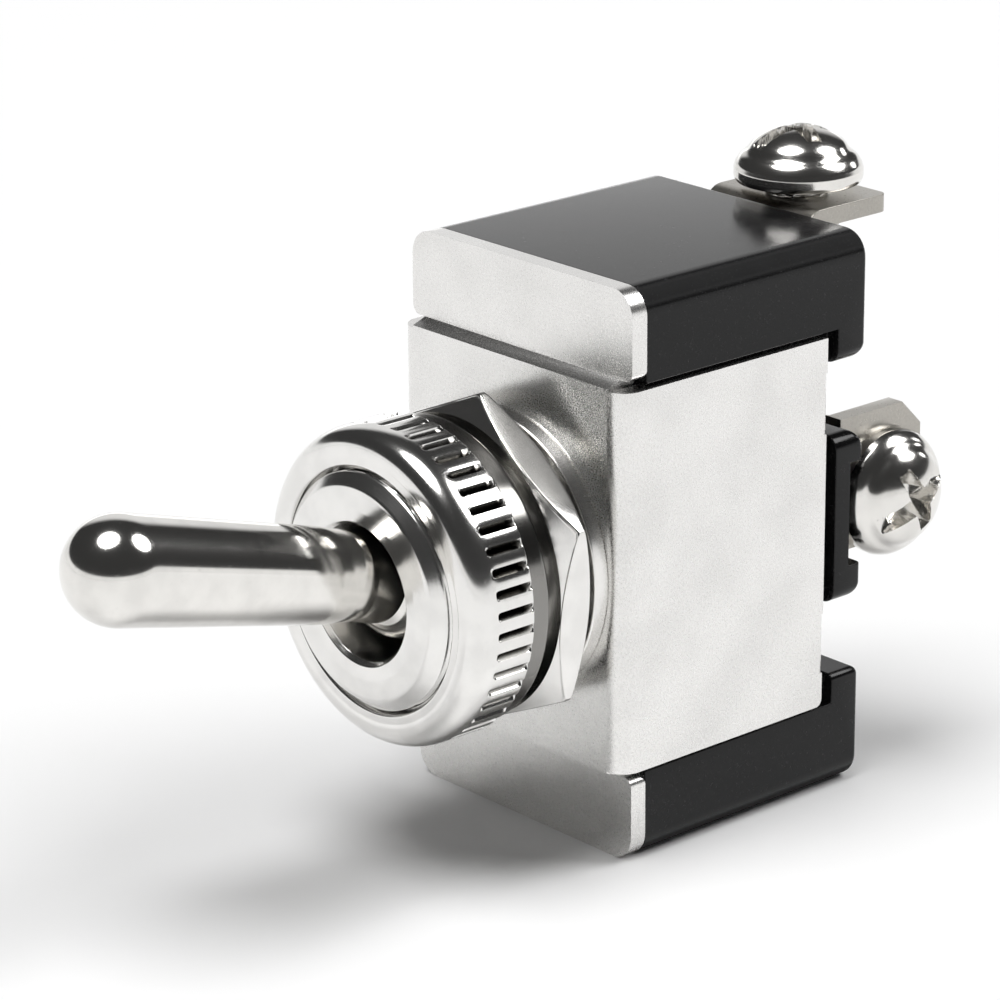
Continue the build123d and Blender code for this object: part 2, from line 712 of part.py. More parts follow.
# Top terminal: strip down the back of the housing, bent back level with its top
tab_face = half_height
with BuildPart() as top_terminal:
    with BuildSketch(Plane.YZ):
        with BuildLine():
            Polyline(
                (back_y, tab_face - top_tab_drop),
                (back_y, tab_face),
                (tab_end_y, tab_face),
                (tab_end_y, tab_face - tab_sheet),
                (back_y + tab_sheet, tab_face - tab_sheet),
                (back_y + tab_sheet, tab_face - top_tab_drop),
                close=True,
            )
        make_face()
    extrude(amount=tab_width / 2, both=True)
    bends = top_terminal.edges().filter_by(Axis.X)
    fillet(bends.sort_by_distance(Vertex(0, back_y, tab_face))[0], tab_bend_radius)
    bends = top_terminal.edges().filter_by(Axis.X)
    inner_corner = Vertex(0, back_y + tab_sheet, tab_face - tab_sheet)
    fillet(bends.sort_by_distance(inner_corner)[0], tab_bend_radius - tab_sheet)
    fillet(top_terminal.edges().filter_by(Axis.Z).group_by(Axis.Y)[-1], top_tab_corner)
    chamfer(top_terminal.edges().filter_by(Axis.Y).group_by(Axis.Z)[0], strip_corner)
    with BuildSketch(Plane.XY.offset(tab_face - tab_sheet)):
        with Locations((0, screw_y)):
            Circle(tab_collar_radius)
    extrude(amount=-tab_collar)
    with BuildSketch(Plane.XY.offset(tab_face)):
        with Locations((0, screw_y)):
            Circle(tap_radius)
    extrude(amount=-(tab_sheet + tab_collar), mode=Mode.SUBTRACT)
    with BuildSketch(Plane.XZ.offset(-back_y)):
        with Locations((0, contact_height)):
            Circle(rivet_hole_radius)
    extrude(amount=-tab_sheet, mode=Mode.SUBTRACT)
top_terminal.part.label = "top_terminal"
export_step(top_terminal.part, "parts/top_terminal.step")

# Side terminal: strip in the housing's seat, bent back along the right side
strip_half_height = recess_half_height - piece_gap
with BuildPart() as side_terminal:
    with BuildSketch(Plane.XY.offset(-strip_half_height)):
        with BuildLine():
            Polyline(
                (-side_base_reach, recess_y),
                (side_tab_face, recess_y),
                (side_tab_face, tab_end_y),
                (side_tab_face - tab_sheet, tab_end_y),
                (side_tab_face - tab_sheet, recess_y + tab_sheet),
                (-side_base_reach, recess_y + tab_sheet),
                close=True,
            )
        make_face()
    extrude(amount=side_tab_top + strip_half_height)
    bends = side_terminal.edges().filter_by(Axis.Z)
    fillet(bends.sort_by_distance(Vertex(side_tab_face, recess_y, 0))[0], tab_bend_radius)
    bends = side_terminal.edges().filter_by(Axis.Z)
    inner_corner = Vertex(side_tab_face - tab_sheet, recess_y + tab_sheet, 0)
    fillet(bends.sort_by_distance(inner_corner)[0], tab_bend_radius - tab_sheet)
    tab_root_y = back_y + piece_gap
    with BuildSketch(Plane.YZ.offset(-side_base_reach)):
        with Locations(((recess_y + tab_root_y) / 2, (side_tab_top + strip_half_height) / 2)):
            Rectangle(tab_root_y - recess_y, side_tab_top - strip_half_height)
    extrude(amount=side_base_reach + side_tab_face, mode=Mode.SUBTRACT)
    chamfer(side_terminal.edges().filter_by(Axis.X).group_by(Axis.Y)[-1], side_tab_corner)
    with BuildSketch(Plane.YZ.offset(side_tab_face - tab_sheet)):
        with Locations((screw_y, 0)):
            Circle(tab_collar_radius)
    extrude(amount=-tab_collar)
    with BuildSketch(Plane.YZ.offset(side_tab_face)):
        with Locations((screw_y, 0)):
            Circle(tap_radius)
    extrude(amount=-(tab_sheet + tab_collar), mode=Mode.SUBTRACT)
    with BuildSketch(Plane.XZ.offset(-recess_y)):
        Circle(rivet_hole_radius)
    extrude(amount=-tab_sheet, mode=Mode.SUBTRACT)
side_terminal.part.label = "side_terminal"
export_step(side_terminal.part, "parts/side_terminal.step")

# Terminal screws: pan heads on plain shanks, one pointing down and one pointing inwards
screw_places = {
    "top_screw": Plane(origin=(0, screw_y, tab_face + top_screw_lift), x_dir=(1, 0, 0), z_dir=(0, 0, 1)),
    "side_screw": Plane(origin=(side_tab_face, screw_y, 0), x_dir=(0, 1, 0), z_dir=(1, 0, 0)),
}
screw_head_height = screw_head_side + screw_head_rise
crown_radius = (screw_head_radius**2 + screw_head_rise**2) / (2 * screw_head_rise)
for screw_name, seat in screw_places.items():
    section = Plane(origin=seat.origin, x_dir=seat.x_dir, z_dir=-seat.y_dir)
    with BuildPart() as screw:
        with BuildSketch(section):
            with BuildLine():
                Polyline(
                    (0, screw_head_height),
                    (0, -screw_length),
                    (screw_radius - screw_end_chamfer, -screw_length),
                    (screw_radius, -(screw_length - screw_end_chamfer)),
                    (screw_radius, 0),
                    (screw_head_radius, 0),
                    (screw_head_radius, screw_head_side),
                )
                RadiusArc((screw_head_radius, screw_head_side), (0, screw_head_height), -crown_radius)
            make_face()
        revolve(axis=Axis(seat.origin, seat.z_dir))
        rims = screw.edges().filter_by(GeomType.CIRCLE)
        rims = rims.filter_by(lambda edge: abs(edge.radius - screw_head_radius) < pick_reach)
        fillet(rims.sort_by(Axis(seat.origin, seat.z_dir))[-1], screw_shoulder_radius)
    screw.part.label = screw_name
    export_step(screw.part, f"parts/{screw_name}.step")
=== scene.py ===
"""Looks of a panel toggle switch: plated lever, bushing, nuts and frame round a glossy black body.

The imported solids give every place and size. Turned pieces are worked out again as fine surfaces of
revolution with their threads, flutes and recesses, and stamped or moulded pieces are the solids
themselves with their edges softened. Lengths in the classes are millimetres.
"""
from __future__ import annotations

import logging
from abc import ABC, abstractmethod
from collections.abc import Iterator, Sequence
from contextlib import contextmanager
from dataclasses import dataclass
from enum import Enum
from typing import Any

import bmesh
import bpy
import numpy as np
from bpy.types import ID, Material, Mesh, Node, NodeSocket, NodeTree, Object
from mathutils import Matrix, Vector


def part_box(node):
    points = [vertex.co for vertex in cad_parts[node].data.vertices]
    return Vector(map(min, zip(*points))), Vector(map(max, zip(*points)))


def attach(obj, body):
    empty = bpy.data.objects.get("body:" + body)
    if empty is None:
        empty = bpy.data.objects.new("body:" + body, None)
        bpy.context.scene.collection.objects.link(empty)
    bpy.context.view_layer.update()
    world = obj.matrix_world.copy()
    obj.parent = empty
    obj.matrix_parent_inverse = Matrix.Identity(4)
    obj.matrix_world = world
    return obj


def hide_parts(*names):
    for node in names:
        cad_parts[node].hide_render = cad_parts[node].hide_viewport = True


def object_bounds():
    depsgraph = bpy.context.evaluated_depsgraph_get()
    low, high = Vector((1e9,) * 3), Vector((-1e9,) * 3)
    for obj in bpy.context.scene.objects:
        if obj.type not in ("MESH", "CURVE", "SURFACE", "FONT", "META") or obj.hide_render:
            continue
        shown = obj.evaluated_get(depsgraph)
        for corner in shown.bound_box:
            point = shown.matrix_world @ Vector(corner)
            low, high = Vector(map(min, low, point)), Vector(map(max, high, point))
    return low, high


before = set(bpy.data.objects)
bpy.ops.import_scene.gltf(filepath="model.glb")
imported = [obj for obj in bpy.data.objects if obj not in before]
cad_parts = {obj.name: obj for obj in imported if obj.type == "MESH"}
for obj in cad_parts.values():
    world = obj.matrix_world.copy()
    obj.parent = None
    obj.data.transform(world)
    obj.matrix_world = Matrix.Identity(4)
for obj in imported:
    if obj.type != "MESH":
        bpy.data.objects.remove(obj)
CAD_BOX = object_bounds()

MM = 0.001
FULL_TURN = 2.0 * np.pi
LOG = logging.getLogger("toggle_switch")

Array = np.ndarray
Pair = tuple[float, float]
Triple = tuple[float, float, float]
Colour = Triple

# Points nearer to each other than this are one point, mm
SAME_POINT = 1e-4
# The largest share of a side that one corner's arc may take
ARC_SHARE = 0.49
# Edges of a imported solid, by their turn in degrees: dissolved below the first, crisp above the
# second, rounded above the third
FLAT_TURN = 0.5
CRISP_TURN = 30.0
ROUNDED_TURN = 40.0
# Pitch of the bushing's and the screws' threads, radius and chamfer of both nuts' bores, and how far
# the lever's hinge lies behind the frame's face, mm
THREAD_PITCH = 0.794
NUT_BORE = 5.983
NUT_CHAMFER = 0.35
PIVOT_BACK = 6.4


class Body(Enum):
    """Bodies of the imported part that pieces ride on."""

    SWITCH = "switch_body"
    LEVER = "lever_body"
    HEX_NUT = "hex_nut_body"
    RING_NUT = "ring_nut_body"
    TOP_SCREW = "top_screw_body"
    SIDE_SCREW = "side_screw_body"


# Meshes


def rounded_outline(corners: Sequence[Triple], closed: bool, steps: int = 6) -> Array:
    """Lays a line through corners, each turned by an arc of its own radius.

    Each arc touches both sides of its corner: its ends lie radius / tan(half the corner's angle)
    from the corner, and its centre lies on the bisector at radius / sin(half the corner's angle).

    Args:
        corners: Places in a half section and the radius at each, in mm. A radius of 0 stays sharp.
        closed: Whether the last corner joins the first.
        steps: Spans in each arc.

    Returns:
        Points of the line, one row each.
    """
    places = np.array([corner[:2] for corner in corners], float)
    radii = [corner[2] for corner in corners]
    count = len(places)
    pieces: list[Array] = []
    for index, (place, radius) in enumerate(zip(places, radii)):
        is_end = not closed and index in (0, count - 1)
        if radius <= 0 or is_end:
            pieces.append(place[None])
            continue
        before = places[index - 1] - place
        after = places[(index + 1) % count] - place
        before_length = float(np.linalg.norm(before))
        after_length = float(np.linalg.norm(after))
        before = before / before_length
        after = after / after_length
        half = 0.5 * np.arccos(np.clip(before @ after, -1.0, 1.0))
        reach = min(radius / np.tan(half), ARC_SHARE * min(before_length, after_length))
        bisector = (before + after) / np.linalg.norm(before + after)
        centre = place + bisector * reach / np.cos(half)
        start = place + before * reach - centre
        end = place + after * reach - centre
        first = np.arctan2(start[1], start[0])
        turn = (np.arctan2(end[1], end[0]) - first + np.pi) % FULL_TURN - np.pi
        angle = first + turn * np.linspace(0.0, 1.0, steps + 1)
        size = float(np.linalg.norm(start))
        pieces.append(centre + size * np.stack([np.cos(angle), np.sin(angle)], 1))
    return np.concatenate(pieces)


def divided(points: Array, longest: float, closed: bool) -> Array:
    """Splits each span of a line into equal parts, none longer than longest.

    Point number step of a span cut into parts is start + (end - start) * step / parts.

    Args:
        points: Points of the line, one row each, mm.
        longest: Longest part, mm.
        closed: Whether the last point joins the first.

    Returns:
        Points of the finer line.
    """
    starts = points if closed else points[:-1]
    spans = (np.roll(points, -1, axis=0) if closed else points[1:]) - starts
    parts = np.maximum(1, np.ceil(np.linalg.norm(spans, axis=1) / longest)).astype(int)
    span = np.repeat(np.arange(len(spans)), parts)
    step = np.arange(len(span)) - np.repeat(np.cumsum(parts) - parts, parts)
    finer = starts[span] + spans[span] * step[:, None] / parts[span][:, None]
    return finer if closed else np.concatenate([finer, points[-1:]])


def all_round(columns: int) -> Array:
    """Angles that share a full turn equally, from 0."""
    return np.arange(columns) * FULL_TURN / columns


def smooth_step(value: Array, low: float, high: float) -> Array:
    """Rises from 0 at low to 1 at high: 3 t^2 - 2 t^3, with t the share of the way between them."""
    share = np.clip((value - low) / (high - low), 0.0, 1.0)
    return share * share * (3.0 - 2.0 * share)


@dataclass(frozen=True)
class TurningAxis:
    """A line that a piece is turned about.

    Attributes:
        origin: A point on the axis, mm.
        along: Unit direction in which reach grows.
        across: Unit direction at angle 0, square to along.
    """

    origin: Triple
    along: Triple
    across: Triple

    def surface(self, radius: Array, reach: Array, angle: Array) -> Array:
        """Places points about the axis.

        A point is origin + along * reach + radius * (across * cos(angle) + third * sin(angle)),
        where third is square to both directions.

        Args:
            radius: Distance from the axis, mm, rows by columns or one per row.
            reach: Distance along the axis, mm, in the same form.
            angle: Angle of each column.

        Returns:
            Points in metres, rows by columns by 3.
        """
        grid = (len(radius), len(angle))
        radius = np.broadcast_to(radius.reshape(len(radius), -1), grid)
        reach = np.broadcast_to(reach.reshape(len(reach), -1), grid)
        along = np.array(self.along)
        across = np.array(self.across)
        third = np.cross(along, across)
        ring = np.cos(angle)[:, None] * across + np.sin(angle)[:, None] * third
        points = np.array(self.origin) + reach[..., None] * along + radius[..., None] * ring
        return points * MM


def grid_faces(rows: int, columns: int, closed_rows: bool) -> Array:
    """Corner numbers of the quads between the points of a grid whose columns go all round."""
    row = np.arange(rows if closed_rows else rows - 1)[:, None]
    column = np.arange(columns)[None, :]
    next_row = (row + 1) % rows
    next_column = (column + 1) % columns
    quads = [row * columns + column, row * columns + next_column]
    quads += [next_row * columns + next_column, next_row * columns + column]
    return np.stack(quads, -1).reshape(-1, 4)


@contextmanager
def opened(mesh: Mesh) -> Iterator[bmesh.types.BMesh]:
    """Opens a mesh for edits and writes them back at the end of the block."""
    shape = bmesh.new()
    shape.from_mesh(mesh)
    yield shape
    shape.to_mesh(mesh)
    shape.free()


def turned_object(name: str, points: Array, closed_rows: bool, sharp_degrees: float = 32.0) -> Object:
    """Makes an object from a grid of points that goes all round an axis.

    Args:
        name: Name of the piece.
        points: Rows by columns by 3, metres.
        closed_rows: Whether the last row joins the first, as on a ring. An open grid ends in poles.
        sharp_degrees: Edges that turn by more than this stay crisp.

    Returns:
        The linked object, its faces pointing outwards.
    """
    mesh = bpy.data.meshes.new(name)
    faces = grid_faces(points.shape[0], points.shape[1], closed_rows)
    mesh.from_pydata(points.reshape(-1, 3), [], faces)
    with opened(mesh) as shape:
        bmesh.ops.remove_doubles(shape, verts=shape.verts, dist=SAME_POINT * MM)
        bmesh.ops.dissolve_degenerate(shape, edges=shape.edges, dist=0.1 * SAME_POINT * MM)
        bmesh.ops.recalc_face_normals(shape, faces=shape.faces)
    smooth(mesh, sharp_degrees)
    return linked(name, mesh)


def linked(name: str, data: ID) -> Object:
    """Makes an object of a mesh, a lamp or a camera and links it to the scene."""
    thing = bpy.data.objects.new(name, data)
    bpy.context.scene.collection.objects.link(thing)
    return thing


def smooth(mesh: Mesh, sharp_degrees: float) -> None:
    """Shades a mesh smooth, except at edges that turn by more than an angle."""
    mesh.polygons.foreach_set("use_smooth", np.ones(len(mesh.polygons), bool))
    mesh.set_sharp_from_angle(angle=np.radians(sharp_degrees))


def softened_solid(name: str, node: str, edge_radius: float, segments: int = 3) -> Object:
    """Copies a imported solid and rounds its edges.

    Args:
        name: Name of the piece.
        node: Node whose mesh is copied.
        edge_radius: Width of the rounding, mm.
        segments: Spans across the rounding.

    Returns:
        The linked object with its bevel applied.
    """
    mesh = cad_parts[node].data.copy()
    mesh.name = name
    with opened(mesh) as shape:
        flat = np.radians(FLAT_TURN)
        bmesh.ops.remove_doubles(shape, verts=shape.verts, dist=SAME_POINT * MM)
        bmesh.ops.dissolve_limit(shape, angle_limit=flat, verts=shape.verts, edges=shape.edges)
    mesh.materials.clear()
    smooth(mesh, CRISP_TURN)
    piece = linked(name, mesh)
    bevel = piece.modifiers.new("softened_edges", "BEVEL")
    bevel.width = edge_radius * MM
    bevel.segments = segments
    bevel.limit_method = "ANGLE"
    bevel.angle_limit = np.radians(ROUNDED_TURN)
    bevel.harden_normals = False
    bevel.use_clamp_overlap = True
    apply_modifiers(piece)
    return piece


def apply_modifiers(piece: Object) -> None:
    """Replaces a piece's mesh by the one that its modifiers give."""
    bpy.context.view_layer.update()
    graph = bpy.context.evaluated_depsgraph_get()
    result = bpy.data.meshes.new_from_object(piece.evaluated_get(graph))
    piece.modifiers.clear()
    old = piece.data
    piece.data = result
    bpy.data.meshes.remove(old)


# Shader maths


@dataclass
class Value:
    """A number that a socket of a node tree gives, with Python's operators."""

    nodes: Nodes
    socket: NodeSocket

    def _math(self, operation: str, *others: Value | float) -> Value:
        """Adds a Math node that works on this value and others."""
        values = {0: self, **dict(enumerate(others, 1))}
        node = self.nodes.node("ShaderNodeMath", {"operation": operation}, values)
        return Value(self.nodes, node.outputs[0])

    def __add__(self, other: Value | float) -> Value:
        """Sum of two values."""
        return self._math("ADD", other)

    __radd__ = __add__

    def __mul__(self, other: Value | float) -> Value:
        """Product of two values."""
        return self._math("MULTIPLY", other)

    __rmul__ = __mul__

    def __rsub__(self, other: float) -> Value:
        """Number less this value."""
        return self._math("MULTIPLY", -1.0)._math("ADD", other)

    def __abs__(self) -> Value:
        """This value without its sign."""
        return self._math("ABSOLUTE")

    def ramp(self, low: float, high: float) -> Value:
        """Rises smoothly from 0 at low to 1 at high."""
        inputs = {"Value": self, "From Min": low, "From Max": high}
        node = self.nodes.node("ShaderNodeMapRange", {"interpolation_type": "SMOOTHSTEP"}, inputs)
        return Value(self.nodes, node.outputs["Result"])


@dataclass
class Nodes:
    """The node tree of a material or of the surroundings, built one node at a time."""

    tree: NodeTree

    def node(
        self,
        kind: str,
        settings: dict[str, Any] | None = None,
        inputs: dict[str | int, Any] | None = None,
    ) -> Node:
        """Adds a node.

        Args:
            kind: Blender's name for the node's type.
            settings: Attributes that are set first.
            inputs: Value, wrapped value or socket for each named or numbered input.

        Returns:
            The node.
        """
        made = self.tree.nodes.new(kind)
        for key, setting in (settings or {}).items():
            setattr(made, key, setting)
        for key, given in (inputs or {}).items():
            self.feed(made.inputs[key], given)
        return made

    def feed(self, target: NodeSocket, given: Any) -> None:
        """Links an input to a socket or a wrapped value, or sets it to a plain value."""
        if isinstance(given, Value):
            given = given.socket
        if isinstance(given, NodeSocket):
            self.tree.links.new(given, target)
        else:
            target.default_value = given

    def vector_math(self, operation: str, *vectors: Any) -> Node:
        """Adds a Vector Math node."""
        return self.node("ShaderNodeVectorMath", {"operation": operation}, dict(enumerate(vectors)))

    def split(self, place: NodeSocket, index: int) -> Value:
        """One of a vector's three numbers."""
        return Value(self, self.node("ShaderNodeSeparateXYZ", None, {0: place}).outputs[index])


class Graph(Nodes):
    """A material's nodes, with its shader, its output and a dark painted shade colour that it may need."""

    # Dark colour of painted shade, laid into hollows that lie in shade
    painted_shade_colour: Colour = (0.10, 0.095, 0.085)
    painted_shade_cover: float = 0.9

    def __init__(self, name: str) -> None:
        """Makes a material of that name with nothing but its output and its shader."""
        self.material = bpy.data.materials.new(name)
        self.material.use_nodes = True
        super().__init__(self.material.node_tree)
        self.tree.nodes.clear()
        self.shader = self.node("ShaderNodeBsdfPrincipled")
        self.node("ShaderNodeOutputMaterial", inputs={"Surface": self.shader.outputs[0]})
        self.place = self.node("ShaderNodeTexCoord").outputs["Object"]

    def noise(self, size: float, detail: float = 3.0, place: Any = None) -> Value:
        """Noise between 0 and 1.

        Args:
            size: Width of its patches, mm.
            detail: Octaves of finer noise.
            place: Coordinates, or None for the object's own.

        Returns:
            The noise.
        """
        coordinates = self.place if place is None else place
        inputs = {"Vector": coordinates, "Scale": 1.0 / (size * MM), "Detail": detail}
        return Value(self, self.node("ShaderNodeTexNoise", None, inputs).outputs[0])

    def part(self, index: int) -> Value:
        """Distance from the middle plane across one axis, mm."""
        return abs(self.split(self.place, index)) * (1.0 / MM)

    def about(self, axis: TurningAxis) -> tuple[Value, Value]:
        """How far a point lies along an axis and how far from it, mm."""
        origin = tuple(part * MM for part in axis.origin)
        offset = self.vector_math("SUBTRACT", self.place, origin).outputs[0]
        reach = self.vector_math("DOT_PRODUCT", offset, axis.along).outputs["Value"]
        square = self.vector_math("CROSS_PRODUCT", offset, axis.along).outputs[0]
        radius = self.vector_math("LENGTH", square).outputs["Value"]
        return Value(self, reach) * (1.0 / MM), Value(self, radius) * (1.0 / MM)

    def turning_lines(self, axis: TurningAxis, pitch: float) -> Value:
        """Fine rings left by a lathe tool.

        The pattern is noise of two numbers: how far a point lies along the axis, and how far from it.

        Args:
            axis: The axis of the piece.
            pitch: Width of a ring, mm.

        Returns:
            Noise that is the same all round the axis.
        """
        reach, radius = self.about(axis)
        pair = self.node("ShaderNodeCombineXYZ", None, {0: reach * MM, 1: radius * MM})
        return self.noise(pitch, 2.0, place=pair.outputs[0])

    def tint(self, mask: Value, low: Colour, high: Colour, painted_shade: Value | None = None) -> None:
        """Mixes two colours by a mask into the base colour.

        Args:
            mask: Share of the second colour.
            low: The first colour.
            high: The second colour.
            painted_shade: Share of a dark painted shade laid over both, or None.
        """
        mixed = self.mix(mask, (*low, 1.0), (*high, 1.0))
        # Painted shade: a dark colour laid over the mixed colour where the mask asks for it
        if painted_shade is not None:
            mixed = self.mix(painted_shade * self.painted_shade_cover, mixed, (*self.painted_shade_colour, 1.0))
        self.tree.links.new(mixed, self.shader.inputs["Base Color"])

    def mix(self, mask: Value, low: Any, high: Any) -> NodeSocket:
        """Mixes two colours, each a socket or four numbers, by a mask."""
        inputs = {"Factor": mask, 6: low, 7: high}
        return self.node("ShaderNodeMix", {"data_type": "RGBA"}, inputs).outputs[2]

    def bump(self, height: Value, depth: float) -> None:
        """Lets a height between 0 and 1 tilt the surface, depth mm from low to high."""
        inputs = {"Height": height, "Distance": depth * MM, "Strength": 1.0}
        self.set(Normal=self.node("ShaderNodeBump", None, inputs).outputs[0])

    def set(self, **values: Any) -> None:
        """Sets or links the shader's own sockets, with _ for a space in a socket's name."""
        for key, value in values.items():
            self.feed(self.shader.inputs[key.replace("_", " ")], value)


def darker(colour: Colour, share: float) -> Colour:
    """A colour at a share of its brightness."""
    return tuple(share * part for part in colour)


# Finishes


@dataclass(frozen=True)
class Finish(ABC):
    """What a surface looks like.

    Attributes:
        name: Name of the material.
    """

    name: str

    @abstractmethod
    def paint(self, graph: Graph) -> None:
        """Builds the material's nodes."""

    def material(self) -> Material:
        """Builds the material."""
        graph = Graph(self.name)
        self.paint(graph)
        return graph.material


@dataclass(frozen=True)
class BrightNickel(Finish):
    """Polished nickel plate on a turned piece, with faint tool rings, a few dull patches and, on a fluted
    piece, painted shade in its flutes and over its collar.

    Attributes:
        axis: The piece's axis.
        valleys: Reach where a fluted band starts and ends and radius of its lands, mm, or None.
        dull: Brightness of the dullest plate.
        painted_shade_depths: Depths under the lands where the painted shade in the flutes is full and where
            it starts.
    """

    axis: TurningAxis
    colour: Colour = (0.84, 0.83, 0.81)
    roughness: float = 0.10
    ring_depth: float = 0.0012
    valleys: Triple | None = None
    ring_pitch: float = 0.09
    cloud_size: float = 1.6
    speck_size: float = 0.22
    dent_size: float = 0.5
    dull: float = 0.86
    painted_shade_fade: float = 0.2
    painted_shade_depths: Pair = (0.34, 0.06)
    collar_painted_shade: float = 0.85

    def painted_shade(self, graph: Graph) -> Value | None:
        """Painted shade that covers the collar and deepens below the lands of the fluted band, where the
        flutes lie in shade.
        """
        if self.valleys is None:
            return None
        start, end, land = self.valleys
        full, shallow = self.painted_shade_depths
        reach, radius = graph.about(self.axis)
        # Painted shade: flute valleys and the collar behind the flutes are darkened to stand in for the
        # shade and dark reflections there
        inside = reach.ramp(start, start + self.painted_shade_fade) * (1.0 - reach.ramp(end - self.painted_shade_fade, end))
        collar = 1.0 - reach.ramp(start - 0.5 * self.painted_shade_fade, start)
        return inside * (1.0 - radius.ramp(land - full, land - shallow)) + collar * self.collar_painted_shade

    def paint(self, graph: Graph) -> None:
        """Builds the material's nodes."""
        rings = graph.turning_lines(self.axis, self.ring_pitch)
        clouds = graph.noise(self.cloud_size, 4.0)
        specks = graph.noise(self.speck_size, 2.0).ramp(0.62, 0.74)
        worn = clouds.ramp(0.35, 0.7) * 0.6 + specks * 0.25
        graph.tint(worn, self.colour, darker(self.colour, self.dull), self.painted_shade(graph))
        graph.set(Metallic=1.0, Roughness=self.roughness + clouds * 0.07 + rings * 0.05 + specks * 0.05)
        graph.bump(rings * 0.7 + graph.noise(self.dent_size, 2.0) * 0.6, self.ring_depth)


@dataclass(frozen=True)
class SatinNickel(Finish):
    """Nickel plate on rolled sheet: a fine grain, soft waves and slightly darker mottling."""

    colour: Colour = (0.84, 0.83, 0.815)
    roughness: float = 0.22
    grain: float = 0.10
    grain_depth: float = 0.0014
    wave_size: float = 4.0
    dull: float = 0.84

    def paint(self, graph: Graph) -> None:
        """Builds the material's nodes."""
        grain = graph.noise(self.grain, 3.0)
        waves = graph.noise(self.wave_size, 2.0)
        mottling = grain.ramp(0.35, 0.75) * 0.5 + waves.ramp(0.3, 0.75) * 0.5
        graph.tint(mottling, self.colour, darker(self.colour, self.dull))
        graph.set(Metallic=1.0, Roughness=self.roughness + grain * 0.1)
        graph.bump(grain * 0.25 + waves * 4.0, self.grain_depth)


@dataclass(frozen=True)
class BlackMoulding(Finish):
    """Glossy black phenolic with a little pale filler, a shallow flow ripple and matt long edges.

    Attributes:
        side: Distance of the sides from the middle plane.
        end: Distance of the ends from the middle plane.
        index: Refractive index, set low so that the sides stay as dark as in the photograph.
        edge_zone: Distances from side and end where the matt edge starts and where it is full.
    """

    side: float
    end: float
    colour: Colour = (0.005, 0.005, 0.0053)
    roughness: float = 0.12
    index: float = 1.34
    filler_size: float = 0.13
    filler_colour: Colour = (0.04, 0.04, 0.041)
    ripple_size: float = 1.3
    ripple_depth: float = 0.002
    edge_zone: Pair = (1.0, 0.6)
    edge_matt: float = 0.6

    def paint(self, graph: Graph) -> None:
        """Builds the material's nodes."""
        filler = graph.noise(self.filler_size, 2.0).ramp(0.6, 0.78)
        ripple = graph.noise(self.ripple_size, 3.0)
        graph.tint(filler * 0.5, self.colour, self.filler_colour)
        start, full = self.edge_zone
        matt = graph.part(0).ramp(self.side - start, self.side - full)
        matt = matt * graph.part(2).ramp(self.end - start, self.end - full)
        roughness = self.roughness + filler * 0.12 + ripple * 0.10 + matt * self.edge_matt
        graph.set(Metallic=0.0, IOR=self.index, Roughness=roughness)
        graph.bump(graph.noise(0.3, 2.0) * 0.5 + ripple, self.ripple_depth)


@dataclass(frozen=True)
class PlainStock(Finish):
    """Metal or plastic of an inner piece: one colour, a fine grain and its own gloss."""

    colour: Colour
    roughness: float
    metallic: float = 1.0
    grain: float = 0.2
    grain_depth: float = 0.002
    dull: float = 0.8

    def paint(self, graph: Graph) -> None:
        """Builds the material's nodes."""
        grain = graph.noise(self.grain, 3.0)
        graph.tint(grain.ramp(0.3, 0.7), self.colour, darker(self.colour, self.dull))
        graph.set(Metallic=self.metallic, Roughness=self.roughness + grain * 0.12)
        graph.bump(grain, self.grain_depth)


# Turned pieces

BUSHING_AXIS = TurningAxis(origin=(0.0, 0.0, 0.0), along=(0.0, -1.0, 0.0), across=(1.0, 0.0, 0.0))


@dataclass(frozen=True)
class Thread:
    """An outside thread with flattened crests.

    Attributes:
        pitch: Distance from one turn to the next.
        depth: Height of the flanks.
        run_out: Length over which it fades at each end.
        steepness: Slope of the flanks. Above 1 the roots are flat.
        crest: Width of the flat crests. At 1 they are sharp.

    On a piece, thread_margins are the plain lengths at its ends, and thread_reach says how near to
    the thread's radius a point counts as threaded.
    """

    pitch: float
    depth: float
    start: float
    end: float
    run_out: float = 0.5
    steepness: float = 1.25
    crest: float = 1.15

    def cut(self, reach: Array, angle: Array) -> Array:
        """Depth cut away at each reach and angle.

        The phase of a point is reach / pitch less its share of a turn. The cut is a triangle wave of
        the phase, clipped so that crest and root are flat, and faded near both ends.
        """
        phase = (reach[:, None] / self.pitch - angle[None, :] / FULL_TURN) % 1.0
        wave = np.clip(self.steepness * (1.0 - np.abs(2.0 * phase - 1.0) * self.crest), 0.0, 1.0)
        fade = smooth_step(reach, self.start, self.start + self.run_out)
        fade = fade * (1.0 - smooth_step(reach, self.end - self.run_out, self.end))
        return self.depth * wave * fade[:, None]


